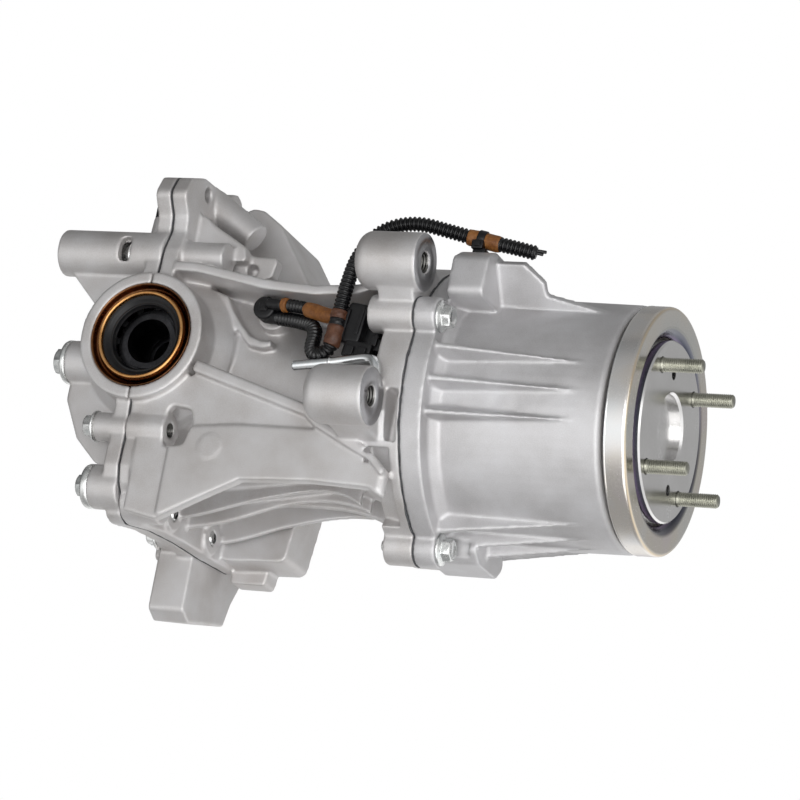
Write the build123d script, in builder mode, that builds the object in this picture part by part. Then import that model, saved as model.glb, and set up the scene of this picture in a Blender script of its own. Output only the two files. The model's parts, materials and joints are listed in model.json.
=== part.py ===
from build123d import *
import math
import os

os.makedirs("parts", exist_ok=True)

# Rear differential of an all-wheel-drive car: an electromagnetic clutch in the round front
# housing takes the propeller shaft, and drives a hypoid pinion, ring gear and bevel differential.
# Millimetres. X runs along the pinion axis towards the front of the car, Z is up, and the left
# output is on the -Y side. The origin is the middle of the input flange's stud circle, on its face.

# Main layout
axle_x = -357.6
axle_z = 19.5
seam_front = -153.0
gasket = 0.6
output_left = -95.0
output_right = 106.0
shaft_clearance = 0.05
open_end = 12.0

# Input flange and its dust cover
flange_r = 61.4
flange_t = 14.0
flange_edge = 1.2
pilot_r = 25.3
pilot_depth = 5.6
pilot_edge = 1.6
neck_r = 27.5
stud_circle_r = 50.2
stud_r = 5.0
stud_out = 28.8
stud_knurl_r = 5.6
puller_hole_r = 4.0
puller_circle_r = 39.0
puller_hole_angles = (106.0, -70.0)
spigot_r = 24.0
flange_web = -42.0
cover_r = 84.0
cover_lip_r = 68.0
cover_front = -1.5
cover_back = -17.0
cover_sheet = 1.5
cover_rounding = 1.2

# Coupling housing
housing_front = -19.0
housing_r = 84.0
housing_root_r = 86.0
housing_inner_r = 76.0
housing_flange_r = 103.0
housing_flange_t = 15.0
front_wall_t = 12.0
housing_bolt_circle_r = 103.0
housing_bolt_angles = (156.0, 255.0, 345.0, 66.0)
ear_r = 13.0
rib_t = 6.0
rib_root_half = 6.5
rib_crest_half = 1.8
rib_tip_x = -33.0
near_ribs = (167.0, 181.0, 194.5)
low_ribs = (247.0, 259.0, 271.0)
far_ribs = (346.0, 0.0, 14.0, 75.0, 300.0)
top_rib = 131.0
rib_crest_r = 99.0
top_rib_crest_r = 117.0

# Clutch inside the coupling housing
drum_r = 70.0
drum_wall = 4.0
drum_front = -50.0
drum_front_t = 8.0
rotor_back = -146.0
rotor_t = 11.0
rotor_rib_t = 5.0
coil_inner_r = 38.0
coil_outer_r = 57.0
coil_gap = 1.0
hub_r = 31.0
hub_back = -150.0
hub_front = -60.0
hub_nose_r = 14.0
hub_nose = 13.0
plate_t = 2.6
plate_gap = 0.5
main_plate_pairs = 6
plate_overlap_in = 4.0
plate_overlap_out = 62.0
lug_count = 6
lug_w = 10.0
lug_h = 2.2
cam_t = 10.0
cam_ball_r = 4.0
cam_ball_circle_r = 46.0
cam_balls = 6
cam_ball_gap = 5.0
cam_swing = 3.0
pilot_cam_t = 5.0
pilot_cam_r = 54.0
pilot_sleeve_r = 36.0
armature_t = 5.0

# Carrier case
carrier_flange_t = 22.0
carrier_wall_front = -168.0
neck_tube_r = 55.0
rear_flange_t = 12.0
ring_cavity_r = 80.0
ring_cavity_left = 14.0
ring_cavity_right = 66.0
case_cavity_r = 50.0
case_cavity_left = -62.0
hub_boss_r = 46.0

# Hypoid pair: straight teeth whose lines touch a circle of the offset's radius
ring_teeth = 37
pinion_teeth = 15
mesh_outer = 74.0
mesh_inner = 51.0
pinion_addendum = 1.15
ring_addendum = 0.85
tooth_clearance = 0.25
backlash = 1.4
pressure_angle = 22.0
ring_flank = 21.0
ring_lead = 0.12

# Differential bevel gears
side_teeth = 16
spider_teeth = 10
bevel_module = 3.4
bevel_face = 11.0
bevel_backlash = 0.35

bevel_addendum = 0.9
bevel_dedendum = 1.15
side_back = 24.2
side_back_r = 27.5
side_seat = 25.5
side_hub_r = 18.0
side_hub_length = 44.0
side_hub_end = 46.0
output_bore_r = 13.5
spider_back_r = 18.0
spider_seat_r = 36.8
spider_pin_r = 8.0
spider_pin_half = 45.0
lock_pin_r = 2.5
lock_pin_z = 41.0
lock_pin_start = 37.0
lock_pin_length = 50.0

# Differential case and ring gear
case_r = 46.0
case_inner_r = 38.0
case_bore_r = 16.0
case_shoulder_r = 26.0
case_flange_r = 70.0
case_flange_t = 8.0
window_w = 20.0
window_h = 25.0
ring_bore_r = 52.0
ring_back = 46.0
ring_register = 10.0
ring_bolt_circle_r = 62.0
ring_bolt_r = 4.5
ring_bolt_count = 8
ring_bolt_depth = 11.0
ring_bolt_head = 6.0

# Bearings: bore radius, outer radius and width
input_bearing = (27.5, 45.0, 18.0)
pinion_head_bearing = (17.5, 36.0, 21.0)
pinion_tail_bearing = (15.0, 31.0, 17.0)
side_bearing = (20.0, 36.0, 18.0)
side_bearing_in = 63.0

ball_r = 5.2
ball_count = 12
land = 3.2
roller_tilt = 14.0
roller_share = 0.36
roller_count = 12
race_clearance = 0.1

# Seals
output_seal_r = 37.4
output_seal_t = 10.0
output_seal_lip_r = 22.0
input_seal_r = 40.0
input_seal_t = 8.0

# Fasteners: M10 flange bolts
bolt_r = 5.0
bolt_hex = 14.0
bolt_head_h = 9.0
bolt_flange_r = 11.0
bolt_flange_t = 2.2
long_bolt_r = 6.0
long_bolt_depth = 22.0
housing_bolt_depth = 30.0
housing_bolt_grip = 42.0
cover_bolt_hole = 30.0
cover_bolt_grip = 42.0
bolt_hole_play = 0.4
gasket_hole_play = 0.6
spot_face_play = 0.6
spot_face_cut = 30.0
corner_round = 6.0

# Harness, sensor and breather pipe
sensor_place = (-279.0, 50.5)
sensor_seat_y = -58.0
sensor_r = 8.3
sensor_outlet = 13.0
sensor_neck = 5.0
sensor_neck_step = 1.5
sensor_head = 11.0
sensor_key = 6.0
sensor_key_t = 1.6
sensor_pad_w = 3.0
sensor_pad_depth = 26.0
conduit_r = 4.7
lead_r = 4.0
wrap_clearance = 0.3
wrap_t = 0.9
connector_y = -92.0
connector_t = 11.0
connector_seat = (-197.0, 12.0)
connector_latch_x = -197.0
connector_latch = (6.0, 9.0, 2.4)
connector_latch_z = 12.0
connector_latch_gap = 2.0
connector_outline = [
    (-209, 46), (-197.5, 47), (-189, 24), (-182, 24), (-182, 9), (-202, 9), (-206, 20),
]
lead_collar = (-207.0, -86.5, 41.0)
lead_collar_length = 4.0
clip_share = 0.87
clip_w = 8.0
clip_wall = 2.0
clip_foot_w = 10.0
clip_foot_gap = 1.2
block_top = 94.0
pipe_r = 2.9
pipe_wall = 0.8
pipe_collar_w = 1.2
pipe_collar_h = 0.6
pipe_route = [
    (-236.7, -95, 2.0), (-212, -95, 2.6), (-189, -95, 4.3), (-177, -95.8, 3.2),
    (-172, -96.5, -4), (-172, -96.5, -13),
]

axle = Axis((axle_x, 0, axle_z), (0, 1, 0))
axle_profile = Plane(origin=(axle_x, 0, axle_z), x_dir=(0, 1, 0), z_dir=(1, 0, 0))
seam_rear = axle_x


def save(part, name):
    part.label = name
    export_step(part, f"parts/{name}.step")
    return part


def turned(plane, axis, outline):
    """A turned piece: an outline of (along, radius) points spun about its axis."""
    with BuildPart() as body:
        with BuildSketch(plane):
            with BuildLine():
                Polyline(*outline, close=True)
            make_face()
        revolve(axis=axis)
    return body.part


def tube_x(x0, x1, outer, inner=0.0):
    return turned(Plane.XZ, Axis.X, [(x0, inner), (x1, inner), (x1, outer), (x0, outer)])


def tube_axle(y0, y1, outer, inner=0.0):
    return turned(axle_profile, axle, [(y0, inner), (y1, inner), (y1, outer), (y0, outer)])


def rod(start, direction, length, radius):
    """A plain cylinder that starts at a point and runs along a direction."""
    with BuildPart() as body:
        with BuildSketch(Plane(origin=start, z_dir=direction)):
            Circle(radius)
        extrude(amount=length)
    return body.part


def plate_x(x0, thickness, outline, corner=0.0):
    """A flat plate in the YZ plane from an outline of (y, z) points."""
    with BuildPart() as body:
        with BuildSketch(Plane.YZ.offset(x0)) as sketch:
            with BuildLine():
                Polyline(*outline, close=True)
            make_face()
            if corner:
                fillet(sketch.vertices(), corner)
        extrude(amount=thickness)
    return body.part


def plate_y(y0, thickness, outline, corner=0.0):
    """A flat plate in the XZ plane from an outline of (x, z) points, thickened towards +Y."""
    with BuildPart() as body:
        with BuildSketch(Plane.XZ.offset(-y0)) as sketch:
            with BuildLine():
                Polyline(*outline, close=True)
            make_face()
            if corner:
                fillet(sketch.vertices(), corner)
        extrude(amount=-thickness)
    return body.part


def round_boss(front, length, radius, rounding):
    """A boss along X from its front face, with a rounded rear end."""
    x, y, z = front
    with BuildPart() as body:
        with BuildSketch(Plane.YZ.offset(x)):
            with Locations((y, z)):
                Circle(radius)
        extrude(amount=-length)
        fillet(body.edges().filter_by(GeomType.CIRCLE).group_by(Axis.X)[0], rounding)
    return body.part


def flange_bolt(start, direction, grip):
    """A flange bolt whose head seats at a point; the shank runs back against the direction."""
    seat = Plane(origin=start, z_dir=direction)
    with BuildPart() as bolt:
        with BuildSketch(seat):
            Circle(bolt_flange_r)
        extrude(amount=bolt_flange_t)
        with BuildSketch(seat.offset(bolt_flange_t)):
            RegularPolygon(bolt_hex / 2, 6, major_radius=False)
        extrude(amount=bolt_head_h - bolt_flange_t)
        with BuildSketch(seat):
            Circle(bolt_r - shaft_clearance)
        extrude(amount=-grip)
    return bolt.part


def polar_yz(radius, angle):
    return (radius * math.cos(math.radians(angle)), radius * math.sin(math.radians(angle)))


def beside_ray(radius, across, angle):
    """The (y, z) point at a radius along the ray of an angle, and a distance across it."""
    turn = math.radians(angle)
    return (radius * math.cos(turn) - across * math.sin(turn),
            radius * math.sin(turn) + across * math.cos(turn))


def radial_plane(angle):
    turn = math.radians(angle)
    return Plane(origin=(0, 0, 0), x_dir=(1, 0, 0), z_dir=(0, -math.sin(turn), math.cos(turn)))


def axle_plane(y):
    """Plane across the axle at a place along it, looking towards the right output."""
    return Plane(origin=(axle_x, y, axle_z), x_dir=(1, 0, 0), z_dir=(0, 1, 0))


def route_radii(points):
    """Bend radius at each inner point: 0.45 of its shorter run over the tangent of half the turn."""
    radii = []
    for before, here, after in zip(points, points[1:], points[2:]):
        run_in, run_out = Vector(here) - Vector(before), Vector(after) - Vector(here)
        half_turn = math.radians(run_in.get_angle(run_out)) / 2
        radii.append(0.45 * min(run_in.length, run_out.length) / math.tan(half_turn))
    return radii


def route_tube(points, radius, bore=0.0):
    with BuildPart() as tube:
        with BuildLine():
            route = FilletPolyline(*points, radius=route_radii(points))
        with BuildSketch(Plane(origin=points[0], z_dir=route % 0)):
            Circle(radius)
            if bore:
                Circle(bore, mode=Mode.SUBTRACT)
        sweep(path=route)
    return tube.part, route


# Casings
# The rear flange is seen from the front as an outline of (y, z) points.
flange_outline = [
    (-90, -12), (-87, -48), (-88, -72), (-84, -84), (-75, -93), (-70, -104), (-61, -107),
    (-27, -101), (12, -98), (54, -97), (104, -94), (113, -84), (113, -30), (106, 66),
    (100, 108), (62, 138), (10, 151), (-68, 146), (-86, 139), (-93, 125), (-82, 112),
    (-80, 101), (-86, 86), (-88, 62),
]
cover_bolt_places = [
    (-79.0, -43.5), (-21.0, -86.0), (43.0, -84.0), (98.0, -80.0),
    (99.0, 76.0), (52.0, 128.0), (-20.5, 140.0),
]
cover_boss_back = -384.0
long_bolt_place = (-72.0, 85.0)
low_bolt_place = (-70.0, -84.0)
outer_profile = [
    (output_left, 0), (output_left, hub_boss_r), (-74, hub_boss_r), (-62, 56), (8, 58),
    (18, 86), (68, 86), (74, 80), (78, hub_boss_r), (output_right, hub_boss_r),
    (output_right, 0),
]
bearing_out = side_bearing_in + side_bearing[2]
retainer_r = 33.0
cavity_profile = [
    (output_left - open_end, 0), (output_left - open_end, output_seal_r),
    (output_left + output_seal_t, output_seal_r), (output_left + output_seal_t, retainer_r),
    (-bearing_out, retainer_r), (-bearing_out, side_bearing[1]),
    (case_cavity_left, side_bearing[1]), (case_cavity_left, case_cavity_r),
    (ring_cavity_left, case_cavity_r), (ring_cavity_left, ring_cavity_r),
    (ring_cavity_right, ring_cavity_r), (ring_cavity_right, side_bearing[1]),
    (bearing_out, side_bearing[1]), (bearing_out, retainer_r),
    (output_right - output_seal_t, retainer_r), (output_right - output_seal_t, output_seal_r),
    (output_right + open_end, output_seal_r), (output_right + open_end, 0),
]
axle_outer = turned(axle_profile, axle, outer_profile)
axle_cavity = turned(axle_profile, axle, cavity_profile)

# Pinion bores in the carrier, from the gear end to the front
head_start = axle_x + mesh_outer + 2.0
head_end = head_start + pinion_head_bearing[2]
tail_start = -212.0
tail_end = tail_start + pinion_tail_bearing[2]
pinion_seal_r = 32.0
pinion_pocket_r = 39.0
carrier_front = seam_front - gasket
pinion_bores = turned(Plane.XZ, Axis.X, [
    (axle_x + 44, 0), (axle_x + 44, pinion_pocket_r), (head_start - 2, pinion_pocket_r),
    (head_start - 2, pinion_head_bearing[1]), (head_end, pinion_head_bearing[1]),
    (head_end, 30), (head_end + 5, 30), (head_end + 8, 35), (tail_start - 8, 35),
    (tail_start - 5, 26), (tail_start, 26), (tail_start, pinion_tail_bearing[1]),
    (tail_end + 2, pinion_tail_bearing[1]), (tail_end + 2, pinion_seal_r),
    (carrier_wall_front, pinion_seal_r), (carrier_wall_front, housing_inner_r),
    (carrier_front + 1, housing_inner_r), (carrier_front + 1, 0),
])

# Fins under the carrier: place, and the lower edge as (x, z) points
fins = [
    (-13.0, [(-346, -87), (-328, -83.5), (-295, -73), (-262, -64.5), (-233, -61), (-208, -69)]),
    (6.0, [(-346, -88), (-332, -86), (-302, -77.5), (-281, -69.7), (-247, -63), (-208, -69)]),
    (32.0, [(-346, -80), (-320, -70), (-294, -62), (-259, -60), (-220, -64), (-206, -69)]),
    (58.0, [(-346, -84), (-331, -81), (-302, -71), (-281, -65), (-264, -61), (-228, -58)]),
]
fin_t = 4.0
pad_y = -90.0
pad_t = 7.0
pad_outline = [
    (-348, -24), (-321, -8), (-306, -2), (-223, -28), (-214, -36), (-171, -57), (-160, -69),
    (-160, -84), (-171, -78), (-214, -76), (-265, -78), (-290, -91), (-323, -109), (-348, -104),
]
pocket_outline = [(-328, -28), (-311, -30), (-308, -42), (-312, -56), (-328, -58)]
pocket_floor = -68.0
s_gusset = [
    (-326, 66), (-314.2, 62), (-306, 49), (-298, 40), (-291.4, 33.5), (-281.7, 30.5), (-274, 31.5),
    (-274, 26), (-281.7, 24.5), (-291.4, 26.5), (-298, 32.5), (-306, 42), (-314.2, 55), (-326, 58),
]
pad_raised = [
    (-322, -55), (-310, -43), (-275, -40), (-215, -40), (-178, -46), (-163, -58), (-163, -81),
    (-171, -77), (-214, -75.5), (-265, -77.5), (-290, -90.5), (-322, -107),
]
diagonal_rib = [
    (-312, 4), (-223, -24), (-214, -32), (-171, -53), (-160, -65), (-160, -72), (-172, -60),
    (-216, -38.5), (-225, -31), (-314, -4),
]
top_rail = [
    (-346, 77), (-327, 76), (-275, 66), (-237, 63), (-205, 65), (-186, 71), (-168, 71),
    (-168, 64), (-186, 64), (-205, 58), (-237, 56), (-275, 59), (-327, 69), (-346, 70),
]
hump_outline = [
    (-346, 151), (-330, 149), (-314, 138), (-289, 102), (-258, 58), (-258, 30), (-346, 30),
]
funnel_middle = (12.0, 16.0)
funnel_radii = (76.0, 92.0)
funnel_front = -238.0
flare_r = 92.0
flare_middle = (-193.0, 66.0)
flare_end = -224.0
neck_back = -245.0
gusset_y = -62.0
gusset_w = 44.0
rail_y = -88.0
rail_w = 80.0
hump_y = -2.0
hump_w = 72.0
low_ear_length = 33.0
carrier_boss_r = 12.0
near_boss_length = 18.0
other_boss_length = 3.0
corner_boss = (-64.0, -91.0)
corner_boss_r = 15.0
corner_boss_length = 27.0
long_boss_r = 11.0
long_boss_length = 44.0
low_web = [(-128, -42), (-60, -50), (-60, 16), (-118, -14)]
low_web_place = (-196.0, 28.0)
high_web = [(-120, 62), (-80, 20), (-40, 60), (-96, 90)]
high_web_place = (-180.0, 26.0)
slant_boss = ((-352, -38, 139), (30, 4, -20), 44, 11)
lug_gusset = [(-350, 120), (-341, 119), (-334, 113), (-306, 97), (-303, 86), (-350, 86)]
lug_gusset_place = (-66.0, 9.0)
tab_outline = [
    (-345, 100), (-318, 96), (-300, 93), (-283, 93), (-285, 78), (-300, 72), (-345, 76),
]
tab_place = (-58.0, 10.0)
far_pad = [(-346, -94), (-294, -92), (-288, -40), (-346, -40)]
far_pad_place = (64.0, 40.0)
far_lug = [(-346, -104), (-318, -104), (-316, -90), (-346, -90)]
far_lug_place = (88.0, 18.0)
oil_middle = (4.0, 16.0)
oil_radii = (58.0, 82.0)
oil_front_gap = 10.0
boss_rounding = 9.0
boss_front_r = 20.0
boss_hole_r = 7.0
boss_low = (-165.0, -121.0, -24.7)
boss_high = (-150.0, -108.0, 74.6)
boss_low_length = 44.0
boss_high_length = 46.0
boss_thread_depth = 30.0
rim_pocket = [(-164, -12), (-156, -12), (-156, -46), (-164, -46)]
rim_pocket_floor = -84.0
rim_pocket_depth = 24.0
rim_groove = [(-177, 94), (-161, 97), (-161, 108), (-177, 108)]
rim_groove_angles = (209.0, 243.0)
ejector_mark = (-291.5, -56.0)
ejector_r = 8.5
lug_hole = (-59.0, 137.0)
lug_hole_r = 5.5
tab_hole = (-301.0, 82.5)
tab_hole_r = 4.2
tab_hole_depth = 8.0

with BuildPart() as carrier:
    # Rear flange and its bolt bosses
    with BuildSketch(Plane.YZ.offset(seam_rear)) as outline:
        with BuildLine():
            Polyline(*flange_outline, close=True)
        make_face()
        fillet(outline.vertices(), corner_round)
    extrude(amount=rear_flange_t)
    add(axle_outer)
    # Funnel from the ring gear space to the pinion tube
    with BuildSketch(Plane.YZ.offset(seam_rear + 2)):
        with Locations(funnel_middle):
            Ellipse(*funnel_radii)
    with BuildSketch(Plane.YZ.offset(funnel_front)):
        Circle(neck_tube_r)
    loft()
    # Pinion tube with its flare into the front flange
    with BuildSketch(Plane.XZ):
        with BuildLine():
            Polyline((flare_end, neck_tube_r), (neck_back, neck_tube_r), (neck_back, 0),
                     (carrier_front, 0), (carrier_front, housing_flange_r),
                     (carrier_front - carrier_flange_t, housing_flange_r),
                     (carrier_front - carrier_flange_t, flare_r))
            ThreePointArc((carrier_front - carrier_flange_t, flare_r), flare_middle,
                          (flare_end, neck_tube_r))
        make_face()
    revolve(axis=Axis.X)
    for fin_y, edge in fins:
        with BuildSketch(Plane.XZ.offset(-fin_y)):
            with BuildLine():
                Spline(*edge)
                Polyline(edge[-1], (edge[-1][0], -30), (edge[0][0], -30), edge[0])
            make_face()
        extrude(amount=fin_t / 2, both=True)
    add(plate_y(pad_y + 1.5, pad_t, pad_outline, 2))
    add(plate_y(pad_y, pad_t, pad_raised, 2))
    add(plate_y(pad_y - 4, 60, diagonal_rib, 2))
    add(plate_y(gusset_y, gusset_w, s_gusset, 2))
    with BuildSketch(Plane.XZ.offset(0.5 - pad_y)):
        with Locations(ejector_mark):
            Circle(ejector_r)
    extrude(amount=-2)
    add(plate_y(rail_y, rail_w, top_rail, 2))
    add(plate_y(hump_y, hump_w, hump_outline, 9))
    # Front ears, one behind each housing bolt
    for angle in housing_bolt_angles:
        with BuildSketch(Plane.YZ.offset(carrier_front)):
            with Locations(polar_yz(housing_bolt_circle_r, angle)):
                Circle(ear_r)
        extrude(amount=-low_ear_length if angle < 180 else -carrier_flange_t)
    # Boss round the tapped hole of each cover bolt
    for y, z in cover_bolt_places:
        with BuildSketch(Plane.YZ.offset(seam_rear)):
            with Locations((y, z)):
                Circle(carrier_boss_r)
        near = z > -80 and y < -70
        extrude(amount=rear_flange_t + (near_boss_length if near else other_boss_length))
    # Lower corner boss and the long boss in line with the rear tube
    with BuildSketch(Plane.YZ.offset(seam_rear)):
        with Locations(corner_boss):
            Circle(corner_boss_r)
    extrude(amount=corner_boss_length)
    with BuildSketch(Plane.YZ.offset(seam_rear)):
        with Locations(long_bolt_place):
            Circle(long_boss_r)
    extrude(amount=long_boss_length)
    # Front mounting bosses with their webs
    for place, length in ((boss_low, boss_low_length), (boss_high, boss_high_length)):
        add(round_boss(place, length, boss_front_r, boss_rounding))
    add(plate_x(*low_web_place, low_web, 3))
    add(plate_x(*high_web_place, high_web, 3))
    # Slanting boss and gusset under the top lug
    add(rod(*slant_boss))
    add(plate_y(*lug_gusset_place, lug_gusset, 3))
    # Tab with its tapped hole, on the ridge below the top lug
    add(plate_y(*tab_place, tab_outline, 4))
    # Far lower corner: a deep pad and the lug beneath it
    add(plate_y(*far_pad_place, far_pad, 6))
    add(plate_y(*far_lug_place, far_lug, 3))
    # Oil space between the ring gear and the pinion's head bearing
    with BuildSketch(Plane.YZ.offset(seam_rear)):
        with Locations(oil_middle):
            Ellipse(*oil_radii)
    with BuildSketch(Plane.YZ.offset(head_start - oil_front_gap)):
        Circle(pinion_pocket_r + 6)
    loft(mode=Mode.SUBTRACT)
    # Seats of the connector and of the round sensor in the recess
    seat_top = connector_outline[4][1]
    add(plate_x(*connector_seat, [(pad_y, -20), (-76, -20), (-76, seat_top), (pad_y, seat_top)]))
    add(rod((sensor_place[0], sensor_seat_y, sensor_place[1]), (0, 1, 0), sensor_pad_depth,
            sensor_r + sensor_pad_w))
    # Cut back to the seam, then the bores and threaded holes
    split(bisect_by=Plane.YZ.offset(seam_rear + gasket / 2), keep=Keep.TOP)
    add(axle_cavity, mode=Mode.SUBTRACT)
    add(pinion_bores, mode=Mode.SUBTRACT)
    for x, y, z in (boss_low, boss_high):
        with BuildSketch(Plane.YZ.offset(x)):
            with Locations((y, z)):
                Circle(boss_hole_r)
        extrude(amount=-boss_thread_depth, mode=Mode.SUBTRACT)
    with BuildSketch(Plane.YZ.offset(carrier_front)):
        for angle in housing_bolt_angles:
            with Locations(polar_yz(housing_bolt_circle_r, angle)):
                Circle(bolt_r)
    extrude(amount=-housing_bolt_depth, mode=Mode.SUBTRACT)
    add(plate_y(pad_y - 4, pocket_floor - pad_y + 4, pocket_outline, 4), mode=Mode.SUBTRACT)
    # Pocket and groove in the rim of the front flange
    add(plate_y(rim_pocket_floor - rim_pocket_depth, rim_pocket_depth, rim_pocket, 2),
        mode=Mode.SUBTRACT)
    with BuildSketch(radial_plane(rim_groove_angles[0])):
        with BuildLine():
            Polyline(*rim_groove, close=True)
        make_face()
    revolve(axis=Axis.X, revolution_arc=rim_groove_angles[1] - rim_groove_angles[0],
            mode=Mode.SUBTRACT)
    with BuildSketch(Plane.YZ.offset(seam_rear)):
        with Locations(*cover_bolt_places):
            Circle(bolt_r)
    extrude(amount=cover_bolt_hole, mode=Mode.SUBTRACT)
    with BuildSketch(Plane.YZ.offset(seam_rear)):
        with Locations(lug_hole):
            Circle(lug_hole_r)
    extrude(amount=rear_flange_t + 20, mode=Mode.SUBTRACT)
    add(rod((tab_hole[0], tab_place[0] - 4, tab_hole[1]), (0, 1, 0), tab_hole_depth + 4,
            tab_hole_r), mode=Mode.SUBTRACT)
    add(route_tube(pipe_route, pipe_r + shaft_clearance)[0], mode=Mode.SUBTRACT)
    with BuildSketch(Plane.YZ.offset(seam_rear)):
        with Locations(long_bolt_place, low_bolt_place):
            Circle(long_bolt_r)
    extrude(amount=long_bolt_depth, mode=Mode.SUBTRACT)
save(carrier.part, "carrier_case")

tube_boss_r = 16.5
tube_bore_r = 10.5
tube_end = -440.0
tube_bore_end = -400.0
tube_floor = -386.0
tube_window = [(-391.5, 76), (-391.5, 94), (-383, 94), (-383, 76)]
foot_outline = [
    (48, -70), (48, -137), (60, -143), (116, -130), (122, -112), (134, -92), (112, -70),
]
foot_back = -386.0
tube_web = [(-434, 72), (-358, 72), (-358, 30), (-402, 40)]
tube_web_t = 12.0
foot_web = [(58, -98), (82, -98), (82, -20), (58, -20)]
foot_web_w = 36.0
rear_boss_r = 10.0
tube_rounding = 4.0
bulge_y = -64.0
bulge_w = 60.0
stub_r = 9.5
stub_foot = 80.0
fill_hole_depth = 20.0
breather_hole_depth = 12.0
rear_bulge = [
    (-350, 14), (-416, 14), (-422, 4), (-422, -20), (-408, -48), (-391, -64), (-350, -84),
]
fill_boss = (-60.0, 8.0)
fill_boss_end = -424.0
fill_boss_r = 15.5
fill_thread_r = 8.0
fill_plug_head = (17.0, 7.0)
fill_plug_length = 16.0
fill_plug_flange_t = 5.0
long_bolt_head = (14.5, 9.0)
low_bolt_head = (14.5, 6.0)
long_bolt_washer_t = 3.0
low_bolt_washer_t = 7.0
long_bolt_tip_gap = 2.0
head_taper = 8.0
low_boss_end = -381.0
low_boss_r = 15.5
breather_place = (-381.0, -50.0)
breather_top = 121.0
breather_hole_r = 3.0
breather_cap_r = 7.0
breather_cap_h = 9.5
breather_cap_round = 2.5
breather_stem = 10.0

with BuildPart() as cover:
    with BuildSketch(Plane.YZ.offset(seam_rear)) as outline:
        with BuildLine():
            Polyline(*flange_outline, close=True)
        make_face()
        fillet(outline.vertices(), corner_round)
    extrude(amount=-rear_flange_t)
    add(axle_outer)
    # Bosses of the flange bolts
    with BuildSketch(Plane.YZ.offset(seam_rear)):
        with Locations(*cover_bolt_places):
            Circle(rear_boss_r)
    extrude(amount=cover_boss_back - seam_rear)
    with BuildSketch(Plane.YZ.offset(seam_rear)):
        with Locations(low_bolt_place):
            Circle(low_boss_r)
    extrude(amount=low_boss_end - seam_rear)
    with BuildSketch(Plane.YZ.offset(seam_rear)):
        with Locations(fill_boss):
            Circle(fill_boss_r)
    extrude(amount=fill_boss_end - seam_rear)
    # Rear mounting tube and its web
    with BuildSketch(Plane.YZ.offset(seam_rear)):
        with Locations(long_bolt_place):
            Circle(tube_boss_r)
    extrude(amount=tube_end - seam_rear)
    fillet(cover.edges().filter_by(GeomType.CIRCLE).group_by(Axis.X)[0],
           tube_rounding)
    add(plate_y(long_bolt_place[0] - tube_web_t / 3, tube_web_t, tube_web))
    # Bulge of the oil space at the lower left
    add(plate_y(bulge_y, bulge_w, rear_bulge, 6))
    # Stub that carries the breather cap
    with BuildSketch(Plane.XY.offset(stub_foot)):
        with Locations(breather_place):
            Circle(stub_r)
    extrude(amount=breather_top - stub_foot, taper=3)
    # Foot of the rear mount and its web up to the dome
    add(plate_x(foot_back, seam_rear - foot_back, foot_outline, 4))
    add(plate_x(foot_back - 8, foot_web_w, foot_web, 4))
    split(bisect_by=Plane.YZ.offset(seam_rear - gasket / 2), keep=Keep.BOTTOM)
    add(axle_cavity, mode=Mode.SUBTRACT)
    with BuildSketch(Plane.YZ.offset(tube_end)):
        with Locations(long_bolt_place):
            Circle(tube_bore_r)
    extrude(amount=tube_bore_end - tube_end, mode=Mode.SUBTRACT)
    with BuildSketch(Plane.YZ.offset(tube_bore_end)):
        with Locations(long_bolt_place):
            Circle(tube_bore_r - 0.5)
    extrude(amount=tube_floor - tube_bore_end, mode=Mode.SUBTRACT)
    with BuildSketch(Plane.YZ.offset(tube_floor)):
        with Locations(long_bolt_place):
            Circle(long_bolt_r + bolt_hole_play)
    extrude(amount=seam_rear - tube_floor, mode=Mode.SUBTRACT)
    with BuildSketch(Plane.YZ.offset(low_boss_end)):
        with Locations(low_bolt_place):
            Circle(long_bolt_r + bolt_hole_play)
    extrude(amount=seam_rear - low_boss_end, mode=Mode.SUBTRACT)
    with BuildSketch(Plane.YZ.offset(cover_boss_back)):
        with Locations(*cover_bolt_places):
            Circle(bolt_r + bolt_hole_play)
    extrude(amount=seam_rear - cover_boss_back, mode=Mode.SUBTRACT)
    # Spot faces for the bolt heads
    with BuildSketch(Plane.YZ.offset(cover_boss_back)):
        with Locations(*cover_bolt_places):
            Circle(bolt_flange_r + spot_face_play)
    extrude(amount=-spot_face_cut, mode=Mode.SUBTRACT)
    with BuildSketch(Plane.YZ.offset(fill_boss_end)):
        with Locations(fill_boss):
            Circle(fill_thread_r)
    extrude(amount=fill_hole_depth, mode=Mode.SUBTRACT)
    with BuildSketch(Plane.XY.offset(breather_top)):
        with Locations(breather_place):
            Circle(breather_hole_r)
    extrude(amount=-breather_hole_depth, mode=Mode.SUBTRACT)
    with BuildSketch(Plane.YZ.offset(seam_rear)):
        with Locations(lug_hole):
            Circle(lug_hole_r)
    extrude(amount=-rear_flange_t, mode=Mode.SUBTRACT)
    # Window in the rear tube, beside the long bolt's head
    add(plate_y(long_bolt_place[0] - tube_boss_r - 1, 10, tube_window, 3.5), mode=Mode.SUBTRACT)
save(cover.part, "rear_cover")

# Gasket at the rear seam: the flange outline less the oil space
with BuildPart() as rear_seal_bead:
    with BuildSketch(Plane.YZ.offset(seam_rear - gasket / 2)) as outline:
        with BuildLine():
            Polyline(*flange_outline, close=True)
        make_face()
        fillet(outline.vertices(), corner_round)
        with Locations(*cover_bolt_places, long_bolt_place, low_bolt_place, lug_hole):
            Circle(long_bolt_r + gasket_hole_play, mode=Mode.SUBTRACT)
    extrude(amount=gasket)
    add(axle_cavity, mode=Mode.SUBTRACT)
save(rear_seal_bead.part, "rear_gasket")


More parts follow.
